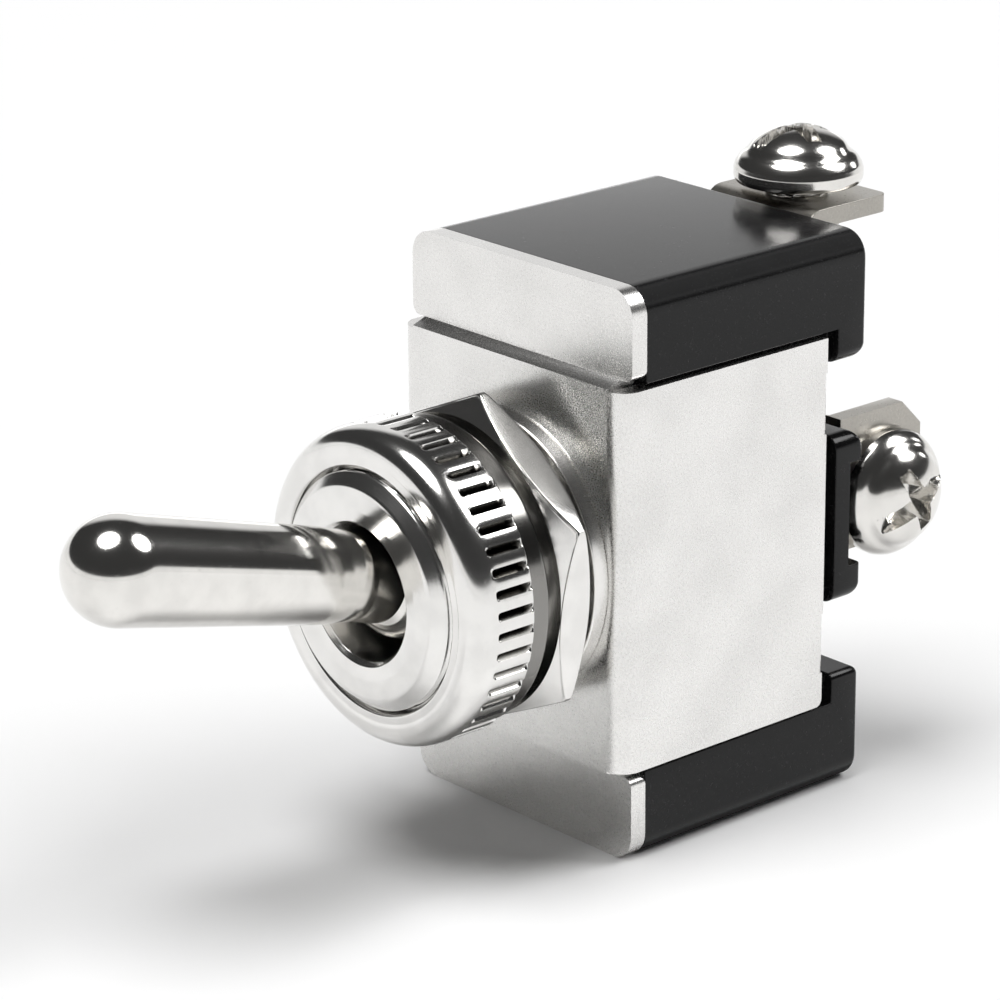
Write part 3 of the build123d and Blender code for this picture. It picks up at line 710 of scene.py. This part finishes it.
@dataclass
class Bushing:
    """The threaded bushing that the lever comes out of.

    Attributes:
        radius: Outside of the thread.
        length: From the frame's face to the front end.
        mouth: Radius of the hole in the front.
        flare: Radius of the hole at the back.
        throat: Depth of the narrowest place of the hole from the front end.
    """

    radius: float = 5.953
    length: float = 9.7
    mouth: float = 3.4
    flare: float = 4.603
    throat: float = 6.1
    sheet: float = 0.95
    stake: float = 6.103
    stake_neck: float = 5.303
    stake_height: float = 0.6
    slot_half: float = 0.8
    slot_reach: float = 4.653
    slot_margin: float = 0.4
    thread_depth: float = 0.46
    thread_margins: Pair = (0.35, 0.4)
    thread_reach: float = 0.01
    span: float = 0.05
    columns: int = 160

    def outline(self) -> Array:
        """Half section, as radius and reach forward from the frame's face."""
        front = self.length
        corners = [
            (self.mouth, front - 0.30, 0.12),
            (self.mouth + 0.22, front - 0.05, 0.10),
            (self.mouth + 0.9, front, 0.3),
            (self.radius - 0.60, front - 0.05, 0.35),
            (self.radius, front - 0.62, 0.25),
            (self.radius, 0.0, 0.0),
            (self.stake_neck, 0.0, 0.0),
            (self.stake_neck, -self.sheet, 0.0),
            (self.stake, -self.sheet, 0.05),
            (self.stake, -(self.sheet + self.stake_height), 0.2),
            (self.flare, -(self.sheet + self.stake_height), 0.1),
            (self.mouth, front - self.throat, 0.3),
        ]
        return rounded_outline(corners, closed=True)

    def build(self) -> Object:
        """Builds the bushing's mesh with its thread and the hinge pin's slots."""
        outline = divided(self.outline(), self.span, closed=True)
        angle = all_round(self.columns)
        rear, front = self.thread_margins
        thread = Thread(THREAD_PITCH, self.thread_depth, start=rear, end=self.length - front)
        is_outside = np.abs(outline[:, 0] - self.radius) < self.thread_reach
        cut = thread.cut(outline[:, 1], angle) * is_outside[:, None]
        radius = outline[:, :1] - cut
        points = BUSHING_AXIS.surface(radius, outline[:, 1], angle)
        piece = turned_object("threaded_bushing", points, closed_rows=True)
        self.cut_slots(piece)
        return piece

    def cut_slots(self, piece: Object) -> None:
        """Cuts the two slots that the hinge pin's ends lie in: a bar with a round front end."""
        angle = np.linspace(0.5 * np.pi, 1.5 * np.pi, 25)
        rear = self.sheet + self.stake_height + self.slot_margin
        arc_y = -PIVOT_BACK + self.slot_half * np.cos(angle)
        arc_z = self.slot_half * np.sin(angle)
        loop_y = np.concatenate([arc_y, [rear, rear]])
        loop_z = np.concatenate([arc_z, [-self.slot_half, self.slot_half]])
        count = len(loop_y)
        ends = (-self.slot_reach, self.slot_reach)
        sides = [np.stack([np.full(count, x), loop_y, loop_z], 1) for x in ends]
        start = np.arange(count)
        walls = np.stack([start, (start + 1) % count, (start + 1) % count + count, start + count], 1)
        faces = [*walls.tolist(), start[::-1].tolist(), (start + count).tolist()]
        mesh = bpy.data.meshes.new("slot_cutter")
        mesh.from_pydata(np.concatenate(sides) * MM, [], faces)
        with opened(mesh) as shape:
            bmesh.ops.recalc_face_normals(shape, faces=shape.faces)
        cutter = linked("slot_cutter", mesh)
        trim = piece.modifiers.new("slots", "BOOLEAN")
        trim.operation = "DIFFERENCE"
        trim.solver = "EXACT"
        trim.object = cutter
        apply_modifiers(piece)
        bpy.data.objects.remove(cutter)
        bpy.data.meshes.remove(mesh)


@dataclass
class RingNut:
    """The round front nut: plain collar, flutes, rounded crown and a bright inner rim.

    Attributes:
        face: Radius where the crown meets the front rim.
        crown_form: Powers of the crown's cosine and sine. At 1 it is a quarter ellipse.
        valley_share: Half width of a flute as a share of its pitch.
        valley_form: Power of the flute's rise. At 1 it is a plain vee.
        band_start: Steps from the band's start between which the flutes reach full depth.
        band_end: Steps from the band's end between which they run out.
        collar_reach: How far inside the collar's radius a point may still be fluted.
        land_crown: How much a land falls off towards the flutes.
    """

    radius: float = 8.0
    back: float = 4.2
    front: float = 9.05
    bore: float = NUT_BORE
    bore_chamfer: float = NUT_CHAMFER
    face: float = 6.75
    crown_form: Pair = (0.8, 0.9)
    collar: float = 7.75
    collar_length: float = 1.2
    flute_length: float = 2.2
    flute_depth: float = 0.5
    flutes: int = 48
    samples_per_flute: int = 14
    valley_share: float = 0.19
    valley_form: float = 0.8
    band_start: Pair = (-0.02, 0.22)
    band_end: Pair = (-0.25, 0.12)
    collar_reach: float = 0.02
    land_crown: float = 0.07
    span: float = 0.14

    def flute_start(self) -> float:
        """Reach where the fluted band starts."""
        return self.back + self.collar_length

    def outline(self) -> Array:
        """Half section, as radius and reach forward from the frame's face."""
        flute_start = self.flute_start()
        flute_end = flute_start + self.flute_length
        crown = np.linspace(0.0, 0.5 * np.pi, 18)
        inward, forward = self.crown_form
        crown_radius = self.face + (self.radius - self.face) * np.cos(crown) ** inward
        crown_reach = flute_end + (self.front - flute_end) * np.sin(crown) ** forward
        rear = [
            (self.bore, self.front - self.bore_chamfer, 0.05),
            (self.bore, self.back + self.bore_chamfer, 0.05),
            (self.bore + self.bore_chamfer, self.back, 0.08),
            (self.collar, self.back, 0.22),
            (self.collar, flute_start - 0.05, 0.05),
            (self.radius, flute_start + 0.05, 0.08),
            (self.radius, flute_end, 0.0),
        ]
        rim = [
            (self.face, self.front, 0.0),
            (self.face - 0.12, self.front - 0.03, 0.05),
            (self.bore + 0.25, self.front, 0.12),
            (self.bore, self.front - 0.3, 0.05),
        ]
        lower, upper = (rounded_outline(corners, closed=False) for corners in (rear, rim))
        return np.concatenate([lower, np.stack([crown_radius, crown_reach], 1)[1:-1], upper[:-1]])

    def build(self) -> Object:
        """Builds the nut's mesh.

        A flute's share of its pitch, from -0.5 to 0.5, gives its depth: deepest on the middle line
        and rising like a rounded vee to the land, faded at both ends of the band. A land is crowned: it
        falls off by the square of the distance from its own middle line.
        """
        outline = divided(self.outline(), self.span, closed=True)
        angle = all_round(self.flutes * self.samples_per_flute)
        share = (angle * self.flutes / FULL_TURN) % 1.0 - 0.5
        valley = np.clip(1.0 - np.abs(share) / self.valley_share, 0.0, 1.0) ** self.valley_form
        flute_start = self.flute_start()
        flute_end = flute_start + self.flute_length
        reach = outline[:, 1]
        opening = (flute_start + step for step in self.band_start)
        closing = (flute_end + step for step in self.band_end)
        band = smooth_step(reach, *opening) * (1.0 - smooth_step(reach, *closing))
        band = band * (outline[:, 0] > self.collar - self.collar_reach)
        fall = self.land_crown * (1.0 - 2.0 * np.abs(share)) ** 2
        depth = band[:, None] * (self.flute_depth * valley + fall)
        points = BUSHING_AXIS.surface(outline[:, :1] - depth, reach, angle)
        return turned_object("fluted_ring_nut", points, closed_rows=True)


@dataclass
class HexNut:
    """The hexagon nut behind the panel, chamfered on both faces.

    Attributes:
        first_corner: Angle of a corner, degrees.
        flat_margin: How far inside the inscribed circle the faces start to fall.
        corner_cut: How much the corners are blunted.
    """

    across_flats: float = 15.4
    thickness: float = 1.8
    back: float = 1.6
    bore: float = NUT_BORE
    bore_chamfer: float = NUT_CHAMFER
    first_corner: float = 23.5
    slope: float = 30.0
    flat_margin: float = 0.12
    corner_cut: float = 0.06
    edge_width: float = 0.12
    edge_height: float = 0.1
    columns: int = 240

    def build(self) -> Object:
        """Builds the nut's mesh.

        The side lies at across_flats / 2 over the cosine of the angle from the nearest flat. Each
        face falls away by tan(slope) outside a circle, and the edge between face and side is a
        quadratic arc, worked out for all angles at once.
        """
        half = 0.5 * self.thickness
        angle = all_round(self.columns)
        sixth = np.pi / 3.0
        from_flat = (angle - np.radians(self.first_corner)) % sixth - 0.5 * sixth
        sharp = 0.5 * self.across_flats / np.cos(from_flat)
        limit = 0.5 * self.across_flats / np.cos(0.5 * sixth) - self.corner_cut
        side = np.minimum(sharp, limit)
        flat = 0.5 * self.across_flats - self.flat_margin
        fall = np.tan(np.radians(self.slope))
        bore_edge = self.bore + self.bore_chamfer
        share = np.linspace(0.0, 1.0, 10)[:, None]
        flat_radius = bore_edge + (flat - bore_edge) * share + 0.0 * side
        flat_level = np.full_like(flat_radius, half)
        slope_radius = flat + (side - self.edge_width - flat) * share[1:]
        slope_level = half - np.maximum(0.0, slope_radius - flat) * fall
        corner = np.linspace(0.0, 1.0, 6)[1:, None]
        end_level = half - np.maximum(0.0, side - flat) * fall - self.edge_height
        edge_radius = (1 - corner) ** 2 * slope_radius[-1] + (1 - (1 - corner) ** 2) * side
        edge_level = (1 - corner**2) * slope_level[-1] + corner**2 * end_level
        upper_radius = np.concatenate([flat_radius, slope_radius, edge_radius])
        upper_level = np.concatenate([flat_level, slope_level, edge_level])
        bore_radius = np.full((1, self.columns), self.bore)
        bore_level = np.full((1, self.columns), half - self.bore_chamfer)
        radius = np.concatenate([bore_radius, upper_radius, upper_radius[::-1], bore_radius])
        level = np.concatenate([bore_level, upper_level, -upper_level[::-1], -bore_level])
        points = BUSHING_AXIS.surface(radius, self.back + half + level, angle)
        return turned_object("plated_hex_nut", points, closed_rows=True, sharp_degrees=24.0)


@dataclass
class Lever:
    """The bat lever: round tip, tapered handle, ball and bored stem.

    Attributes:
        angle: Tilt of the handle above the bushing's axis at rest, degrees.
        root_reach: Distance of the taper's foot from the hinge.
    """

    angle: float = 15.4
    length: float = 20.5
    tip: float = 2.65
    root: float = 2.35
    root_reach: float = 6.2
    neck: float = 2.2
    neck_reach: float = 3.9
    ball: float = 3.05
    stem: float = 1.9
    stem_end: float = 12.445
    bore: float = 1.15
    bore_depth: float = 8.5
    bore_point: float = 0.3
    span: float = 0.3
    columns: int = 128

    def axis(self) -> TurningAxis:
        """The handle's middle line, from the hinge to the tip."""
        tilt = np.radians(self.angle)
        along = (0.0, -float(np.cos(tilt)), float(np.sin(tilt)))
        return TurningAxis(origin=(0.0, -PIVOT_BACK, 0.0), along=along, across=(1.0, 0.0, 0.0))

    def outline(self) -> Array:
        """Half section from the tip's pole to the bottom of the bore."""
        tip_angle = np.linspace(0.0, 0.5 * np.pi, 22)
        tip = np.stack([self.tip * np.sin(tip_angle), self.length - self.tip * (1 - np.cos(tip_angle))], 1)
        low = float(np.arccos(self.neck / self.ball))
        high = -float(np.arccos(self.stem / self.ball))
        ball_angle = np.linspace(low, high, 26)
        ball = np.stack([self.ball * np.cos(ball_angle), self.ball * np.sin(ball_angle)], 1)
        handle = [
            (self.tip, self.length - self.tip, 0.0),
            (self.root, self.root_reach, 1.0),
            (self.neck, self.neck_reach, 0.5),
            (self.neck, float(ball[0, 1]), 0.0),
        ]
        stem = [
            (self.stem, float(ball[-1, 1]), 0.0),
            (self.stem, -self.stem_end, 0.2),
            (self.bore, -self.stem_end, 0.1),
            (self.bore, -(self.stem_end - self.bore_depth), 0.0),
            (0.0, -(self.stem_end - self.bore_depth - self.bore_point), 0.0),
        ]
        upper, lower = (rounded_outline(corners, closed=False) for corners in (handle, stem))
        return np.concatenate([tip[:-1], upper[:-1], ball[:-1], lower])

    def build(self) -> Object:
        """Builds the lever's mesh."""
        outline = divided(self.outline(), self.span, closed=False)
        points = self.axis().surface(outline[:, 0], outline[:, 1], all_round(self.columns))
        return turned_object("bat_lever", points, closed_rows=False)


@dataclass
class PanScrew:
    """A terminal screw with a pan head and a recess for two kinds of driver.

    Attributes:
        axis: The screw's axis, from the seat outwards through the head.
        turn: Angle of the slot about the axis, degrees.
        shoulder_share: Share of the shoulder's rounding that the crown leaves to it.
        groove_width: Distance over which the groove falls off.
        cross_taper: Width and depth at the ends of the arms, as shares of those at the middle.
        walls: Half the widths of the slot's and the cross's steep walls.
        clearance: How far above the crown the recess's level lies outside it.
        recess_from: Level above the seat from which the recess may cut.
    """

    name: str
    axis: TurningAxis
    turn: float
    head: float = 3.32
    head_height: float = 2.8
    head_side: float = 0.75
    shoulder: float = 0.25
    shoulder_share: float = 0.35
    groove_radius: float = 2.68
    groove_width: float = 0.24
    groove_depth: float = 0.13
    shank: float = 1.753
    shank_chamfer: float = 0.35
    length: float = 4.8
    thread_depth: float = 0.4
    thread_margins: Pair = (0.2, 0.15)
    thread_run_out: float = 0.3
    thread_reach: float = 0.005
    slot_width: float = 0.95
    slot_depth: float = 0.95
    cross_width: float = 1.05
    cross_reach: float = 1.85
    cross_depth: float = 1.65
    cross_taper: Pair = (0.72, 0.55)
    walls: Pair = (0.05, 0.06)
    cross_end: float = 0.16
    clearance: float = 0.2
    recess_from: float = 0.1
    span: float = 0.075
    columns: int = 288

    def outline(self) -> Array:
        """Half section from the shank's end round the head to its crown.

        The crown is an arc less a shallow groove, which falls off as exp(-(distance / width)^2) to
        both sides of its middle and leaves a raised rim.
        """
        rise = self.head_height - self.head_side
        crown_radius = (self.head**2 + rise**2) / (2.0 * rise)
        widest = np.arcsin((self.head - self.shoulder_share * self.shoulder) / crown_radius)
        crown_angle = np.linspace(widest, 0.0, 56)
        radius = crown_radius * np.sin(crown_angle)
        groove = self.groove_depth * np.exp(-(((radius - self.groove_radius) / self.groove_width) ** 2))
        crown = np.stack([radius, self.head_height - crown_radius * (1 - np.cos(crown_angle)) - groove], 1)
        corners = [
            (0.0, -self.length, 0.0),
            (self.shank - self.shank_chamfer, -self.length, 0.1),
            (self.shank, -(self.length - self.shank_chamfer), 0.1),
            (self.shank, 0.0, 0.0),
            (self.head - 0.1, 0.0, 0.1),
            (self.head, 0.25, 0.2),
            (self.head, self.head_side - 0.1, self.shoulder),
            (float(crown[0, 0]), float(crown[0, 1]), 0.0),
        ]
        return np.concatenate([rounded_outline(corners, closed=False, steps=10)[:-1], crown])

    def recess_floor(self, radius: Array, angle: Array) -> Array:
        """Level of the recess under each point of the head.

        Along the slot the floor lies slot_depth below the crown, inside half the slot's width. In
        the cross it falls from the ends of its four arms to cross_depth at the middle. Walls are
        steep smooth steps, and outside them the floor is above the head.
        """
        turned = angle - np.radians(self.turn)
        first = np.abs(radius * np.cos(turned))
        second = np.abs(radius * np.sin(turned))
        slot_wall, cross_wall = self.walls
        narrow, shallow = self.cross_taper
        above = self.head_height + self.clearance
        slot = smooth_step(0.5 * self.slot_width - second, -slot_wall, slot_wall)
        slot_floor = above - slot * (above - (self.head_height - self.slot_depth))
        far = np.maximum(first, second)
        near = np.minimum(first, second)
        taper = np.clip(1.0 - far / self.cross_reach, 0.0, 1.0)
        half_width = 0.5 * self.cross_width * (narrow + (1.0 - narrow) * taper)
        inside = smooth_step(half_width - near, -cross_wall, cross_wall)
        inside = inside * smooth_step(self.cross_reach - far, 0.0, self.cross_end)
        bottom = self.head_height - self.cross_depth * (shallow + (1.0 - shallow) * taper)
        cross_floor = above - inside * (above - bottom)
        return np.minimum(slot_floor, cross_floor)

    def build(self) -> Object:
        """Builds the screw's mesh with its thread and recess."""
        outline = divided(self.outline(), self.span, closed=False)
        angle = all_round(self.columns)
        end, root = self.thread_margins
        start = end - self.length
        thread = Thread(THREAD_PITCH, self.thread_depth, start, -root, self.thread_run_out)
        is_shank = (np.abs(outline[:, 0] - self.shank) < self.thread_reach) & (outline[:, 1] < 0.0)
        radius = outline[:, :1] - thread.cut(outline[:, 1], angle) * is_shank[:, None]
        level = np.broadcast_to(outline[:, 1:], radius.shape)
        floor = self.recess_floor(radius, angle[None, :])
        level = np.where(level > self.recess_from, np.minimum(level, floor), level)
        points = self.axis.surface(radius, level, angle)
        return turned_object(self.name, points, closed_rows=False, sharp_degrees=38.0)


# Sub-assemblies

MATERIALS: dict[str, Material] = {}


def dress(mesh: Mesh, finish: Finish) -> None:
    """Gives a mesh a finish, whose material is made once for all meshes that share it."""
    if finish.name not in MATERIALS:
        MATERIALS[finish.name] = finish.material()
    mesh.materials.clear()
    mesh.materials.append(MATERIALS[finish.name])


def dress_node(node: str, finish: Finish) -> None:
    """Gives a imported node's own mesh a finish."""
    dress(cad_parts[node].data, finish)
    LOG.info("%s: dressed as %s", node, finish.name)


def hand_in(piece: Object, finish: Finish, node: str, body: Body = Body.SWITCH) -> None:
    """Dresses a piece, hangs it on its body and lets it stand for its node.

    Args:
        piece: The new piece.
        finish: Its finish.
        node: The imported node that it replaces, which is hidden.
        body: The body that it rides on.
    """
    dress(piece.data, finish)
    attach(piece, body.value)
    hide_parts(node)
    LOG.info("%s: %d faces, rides on %s", piece.name, len(piece.data.polygons), body.value)


def screw_axis(node: str, outward: int) -> TurningAxis:
    """Finds a screw's axis, which starts on its seat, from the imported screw's box.

    Args:
        node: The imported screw, in the part's middle plane or across it.
        outward: Number of the axis that the head faces along: 0 for x, 2 for z.

    Returns:
        The axis, at angle 0 along the next of the three axes.
    """
    low, high = (np.array(corner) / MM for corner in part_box(node))
    seat = np.array([0.0, 0.5 * (low[1] + high[1]), 0.0])
    seat[outward] = high[outward] - PanScrew.head_height
    units = [tuple(row) for row in np.eye(3).tolist()]
    return TurningAxis(tuple(seat.tolist()), along=units[outward], across=units[(outward + 1) % 3])


@dataclass
class PanelHardware:
    """Bushing, lock washer and both nuts."""

    def build(self) -> None:
        """Builds and dresses the pieces on the bushing's axis."""
        bright = BrightNickel("bright_nickel_bushing", BUSHING_AXIS, roughness=0.12, ring_depth=0.004)
        hand_in(Bushing().build(), bright, "bushing")
        nut = RingNut()
        valleys = (nut.flute_start(), nut.flute_start() + nut.flute_length, nut.radius)
        # The ring nut's finish paints shade into its flutes and over its collar
        ring = BrightNickel("bright_nickel_ring_nut", BUSHING_AXIS, roughness=0.09, valleys=valleys)
        hand_in(nut.build(), ring, "ring_nut", Body.RING_NUT)
        hexagon = BrightNickel("bright_nickel_hex_nut", BUSHING_AXIS, roughness=0.12)
        hand_in(HexNut().build(), hexagon, "hex_nut", Body.HEX_NUT)
        washer = softened_solid("toothed_washer", "lock_washer", 0.1)
        plate = BrightNickel("bright_nickel_washer", BUSHING_AXIS, roughness=0.16)
        hand_in(washer, plate, "lock_washer")


@dataclass
class LeverGroup:
    """The lever with its pin, spring and plunger."""

    def build(self) -> None:
        """Builds the lever and dresses what it carries."""
        lever = Lever()
        finish = BrightNickel("polished_nickel_lever", lever.axis(), (0.82, 0.805, 0.775), 0.06, 0.0004)
        hand_in(lever.build(), finish, "lever", Body.LEVER)
        dress_node("lever_pin", PlainStock("ground_steel", (0.56, 0.56, 0.55), 0.2))
        dress_node("lever_spring", PlainStock("music_wire", (0.45, 0.45, 0.46), 0.25))
        dress_node("plunger", PlainStock("natural_nylon", (0.72, 0.68, 0.56), 0.42, metallic=0.0))


@dataclass
class Casing:
    """The stamped frame round the black moulding."""

    def build(self) -> None:
        """Builds and dresses the casing's pieces."""
        shell = softened_solid("stamped_frame", "frame", 0.14)
        hand_in(shell, SatinNickel("satin_nickel_frame"), "frame")
        moulding = softened_solid("moulded_body", "housing", 0.16)
        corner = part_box("housing")[1]
        plastic = BlackMoulding("black_phenolic", corner[0] / MM, corner[2] / MM)
        hand_in(moulding, plastic, "housing")
        dress_node("insulator_card", PlainStock("vulcanised_fibre", (0.20, 0.13, 0.08), 0.6, metallic=0.0))


@dataclass
class Terminals:
    """Both terminal strips with their screws and rivets."""

    def build(self) -> None:
        """Builds and dresses the terminals and their screws."""
        strips = {"top_terminal": "end_terminal_strip", "side_terminal": "common_terminal_strip"}
        for node, name in strips.items():
            strip = softened_solid(name, node, 0.1)
            finish = SatinNickel(f"nickel_{node}", (0.44, 0.42, 0.385), 0.24, 0.14, 0.0012)
            hand_in(strip, finish, node)
        for node, name, outward, turn, body in (
            ("top_screw", "top_terminal_screw", 2, 72.0, Body.TOP_SCREW),
            ("side_screw", "side_terminal_screw", 0, 27.0, Body.SIDE_SCREW),
        ):
            screw = PanScrew(name, screw_axis(node, outward), turn)
            finish = BrightNickel(f"bright_nickel_{node}", screw.axis, (0.80, 0.785, 0.755), 0.09)
            hand_in(screw.build(), finish, node, body)
        rivet = PlainStock("nickel_washed_brass", (0.66, 0.62, 0.52), 0.24)
        for node in ("common_rivet", "fixed_contact"):
            dress_node(node, rivet)


@dataclass
class ContactWorks:
    """What rocks and conducts inside the moulding."""

    def build(self) -> None:
        """Dresses the inner pieces."""
        brass = PlainStock("rolled_brass", (0.66, 0.47, 0.18), 0.26)
        for node in ("contact_arm", "arm_cradle"):
            dress_node(node, brass)
        dress_node("moving_contact", PlainStock("silver_button", (0.83, 0.82, 0.79), 0.18))


# Studio


@dataclass(frozen=True)
class Softbox:
    """A round lamp that faces the part. Its power is in watts."""

    name: str
    direction: Triple
    width: float
    power: float
    distance: float = 3000.0

    def build(self) -> None:
        """Hangs the lamp."""
        lamp = bpy.data.lights.new(self.name, "AREA")
        lamp.shape = "DISK"
        lamp.size = self.width * MM
        lamp.energy = self.power
        place = Vector(self.direction).normalized() * self.distance * MM
        light = linked(self.name, lamp)
        light.location = place
        light.rotation_euler = place.to_track_quat("Z", "Y").to_euler()


@dataclass
class Studio:
    """Pale floor, three softboxes, a dark room with one pale wall, and the photograph's camera.

    Attributes:
        azimuth: Direction of the camera about the vertical, degrees, 0 in front of the lever.
        aim_right: Offset of the camera across its view, as aim_up is up its view.
        aim_back: How far the aim point lies behind the frame's face.
        focal_pixels: Focal length in widths of one pixel.
        centre_shift: Pixels by which the optical centre lies right of the picture's middle.
        clip: Nearest and furthest distance that the camera sees, m.
        wall_direction: Direction from the part to the pale wall.
        wall_edge: Cosines of the angle off that direction where the wall starts and is in full light.
        ground_edge: Sines of the angle above the level where the white ground starts to fade and ends.
    """

    azimuth: float = 48.748
    elevation: float = 19.402
    roll: float = -0.457
    distance: float = 202.983
    aim_right: float = -0.794
    aim_up: float = 2.16
    aim_back: float = 0.8
    focal_pixels: float = 4110.47
    centre_shift: float = 5.0
    frame_pixels: float = 1000.0
    sensor: float = 36.0
    clip: Pair = (0.01, 20.0)
    floor_half: float = 1500.0
    wall_direction: Triple = (-0.74, 0.60, 0.30)
    wall_edge: Pair = (0.88, 0.97)
    wall_light: float = 0.85
    room_light: float = 0.04
    ground_light: float = 0.9
    ground_edge: Pair = (0.10, 0.13)
    softboxes: tuple[Softbox, ...] = (
        Softbox("softbox_over", (-0.06, -0.24, 0.97), width=1900.0, power=66.0),
        Softbox("softbox_behind", (0.36, 0.56, 0.745), width=1700.0, power=44.0),
        Softbox("softbox_low", (0.10, 0.94, 0.33), width=500.0, power=3.0),
    )

    def view_axes(self) -> tuple[Array, Array, Array]:
        """Unit directions of the camera: right, up and back, turned by its roll."""
        turn, rise, roll = np.radians([self.azimuth, self.elevation, self.roll])
        back = np.array([np.sin(turn) * np.cos(rise), -np.cos(turn) * np.cos(rise), np.sin(rise)])
        level = np.array([np.cos(turn), np.sin(turn), 0.0])
        upright = np.cross(back, level)
        right = np.cos(roll) * level + np.sin(roll) * upright
        up = np.cos(roll) * upright - np.sin(roll) * level
        return right, up, back

    def camera(self) -> None:
        """Places the camera."""
        right, up, back = self.view_axes()
        place = right * self.aim_right + up * self.aim_up + back * self.distance
        place = (place + np.array([0.0, self.aim_back, 0.0])) * MM
        lens = bpy.data.cameras.new("photo_camera")
        lens.sensor_width = self.sensor
        lens.lens = self.focal_pixels / self.frame_pixels * self.sensor
        lens.shift_x = -self.centre_shift / self.frame_pixels
        lens.clip_start, lens.clip_end = self.clip
        camera = linked("photo_camera", lens)
        pose = np.eye(4)
        pose[:3, 0], pose[:3, 1], pose[:3, 2], pose[:3, 3] = right, up, back, place
        camera.matrix_world = Matrix(pose.tolist())
        bpy.context.scene.camera = camera

    def floor(self) -> None:
        """Lays a pale floor under the part's lowest point."""
        low = CAD_BOX[0][2]
        half = self.floor_half * MM
        mesh = bpy.data.meshes.new("studio_floor")
        corners = [(-half, -half, low), (half, -half, low), (half, half, low), (-half, half, low)]
        mesh.from_pydata(corners, [], [(0, 1, 2, 3)])
        floor = linked("studio_floor", mesh)
        graph = Graph("pale_floor")
        graph.tint(graph.noise(300.0, 2.0), (0.93, 0.93, 0.93), (0.95, 0.95, 0.95))
        graph.set(Roughness=0.9, Specular_IOR_Level=0.1)
        mesh.materials.append(graph.material)

    def walls(self) -> None:
        """Surrounds the part with a dark room that has one pale wall, and with white below the floor."""
        world = bpy.data.worlds.new("studio_walls")
        world.use_nodes = True
        nodes = Nodes(world.node_tree)
        place = nodes.node("ShaderNodeTexCoord").outputs["Generated"]
        direction = Vector(self.wall_direction).normalized()
        toward = Value(nodes, nodes.vector_math("DOT_PRODUCT", place, direction).outputs["Value"])
        wall = toward.ramp(*self.wall_edge) * (self.wall_light - self.room_light)
        ground = (1.0 - nodes.split(place, 2).ramp(*self.ground_edge)) * self.ground_light
        background = world.node_tree.nodes["Background"]
        nodes.feed(background.inputs["Color"], (1.0, 1.0, 1.0, 1.0))
        nodes.feed(background.inputs["Strength"], wall + ground + self.room_light)
        bpy.context.scene.world = world

    def build(self) -> None:
        """Sets up floor, lamps, surroundings and camera."""
        self.floor()
        for softbox in self.softboxes:
            softbox.build()
        self.walls()
        bpy.context.scene.view_settings.view_transform = "Standard"
        self.camera()


def main() -> None:
    """Builds the switch's pieces in order, then the studio."""
    logging.basicConfig(level=logging.INFO, format="%(name)s: %(message)s")
    assemblies: list[Any] = [Casing(), PanelHardware(), LeverGroup(), Terminals(), ContactWorks(), Studio()]
    for assembly in assemblies:
        assembly.build()
        LOG.info("%s is in place", type(assembly).__name__)


if __name__ == "__main__":
    main()
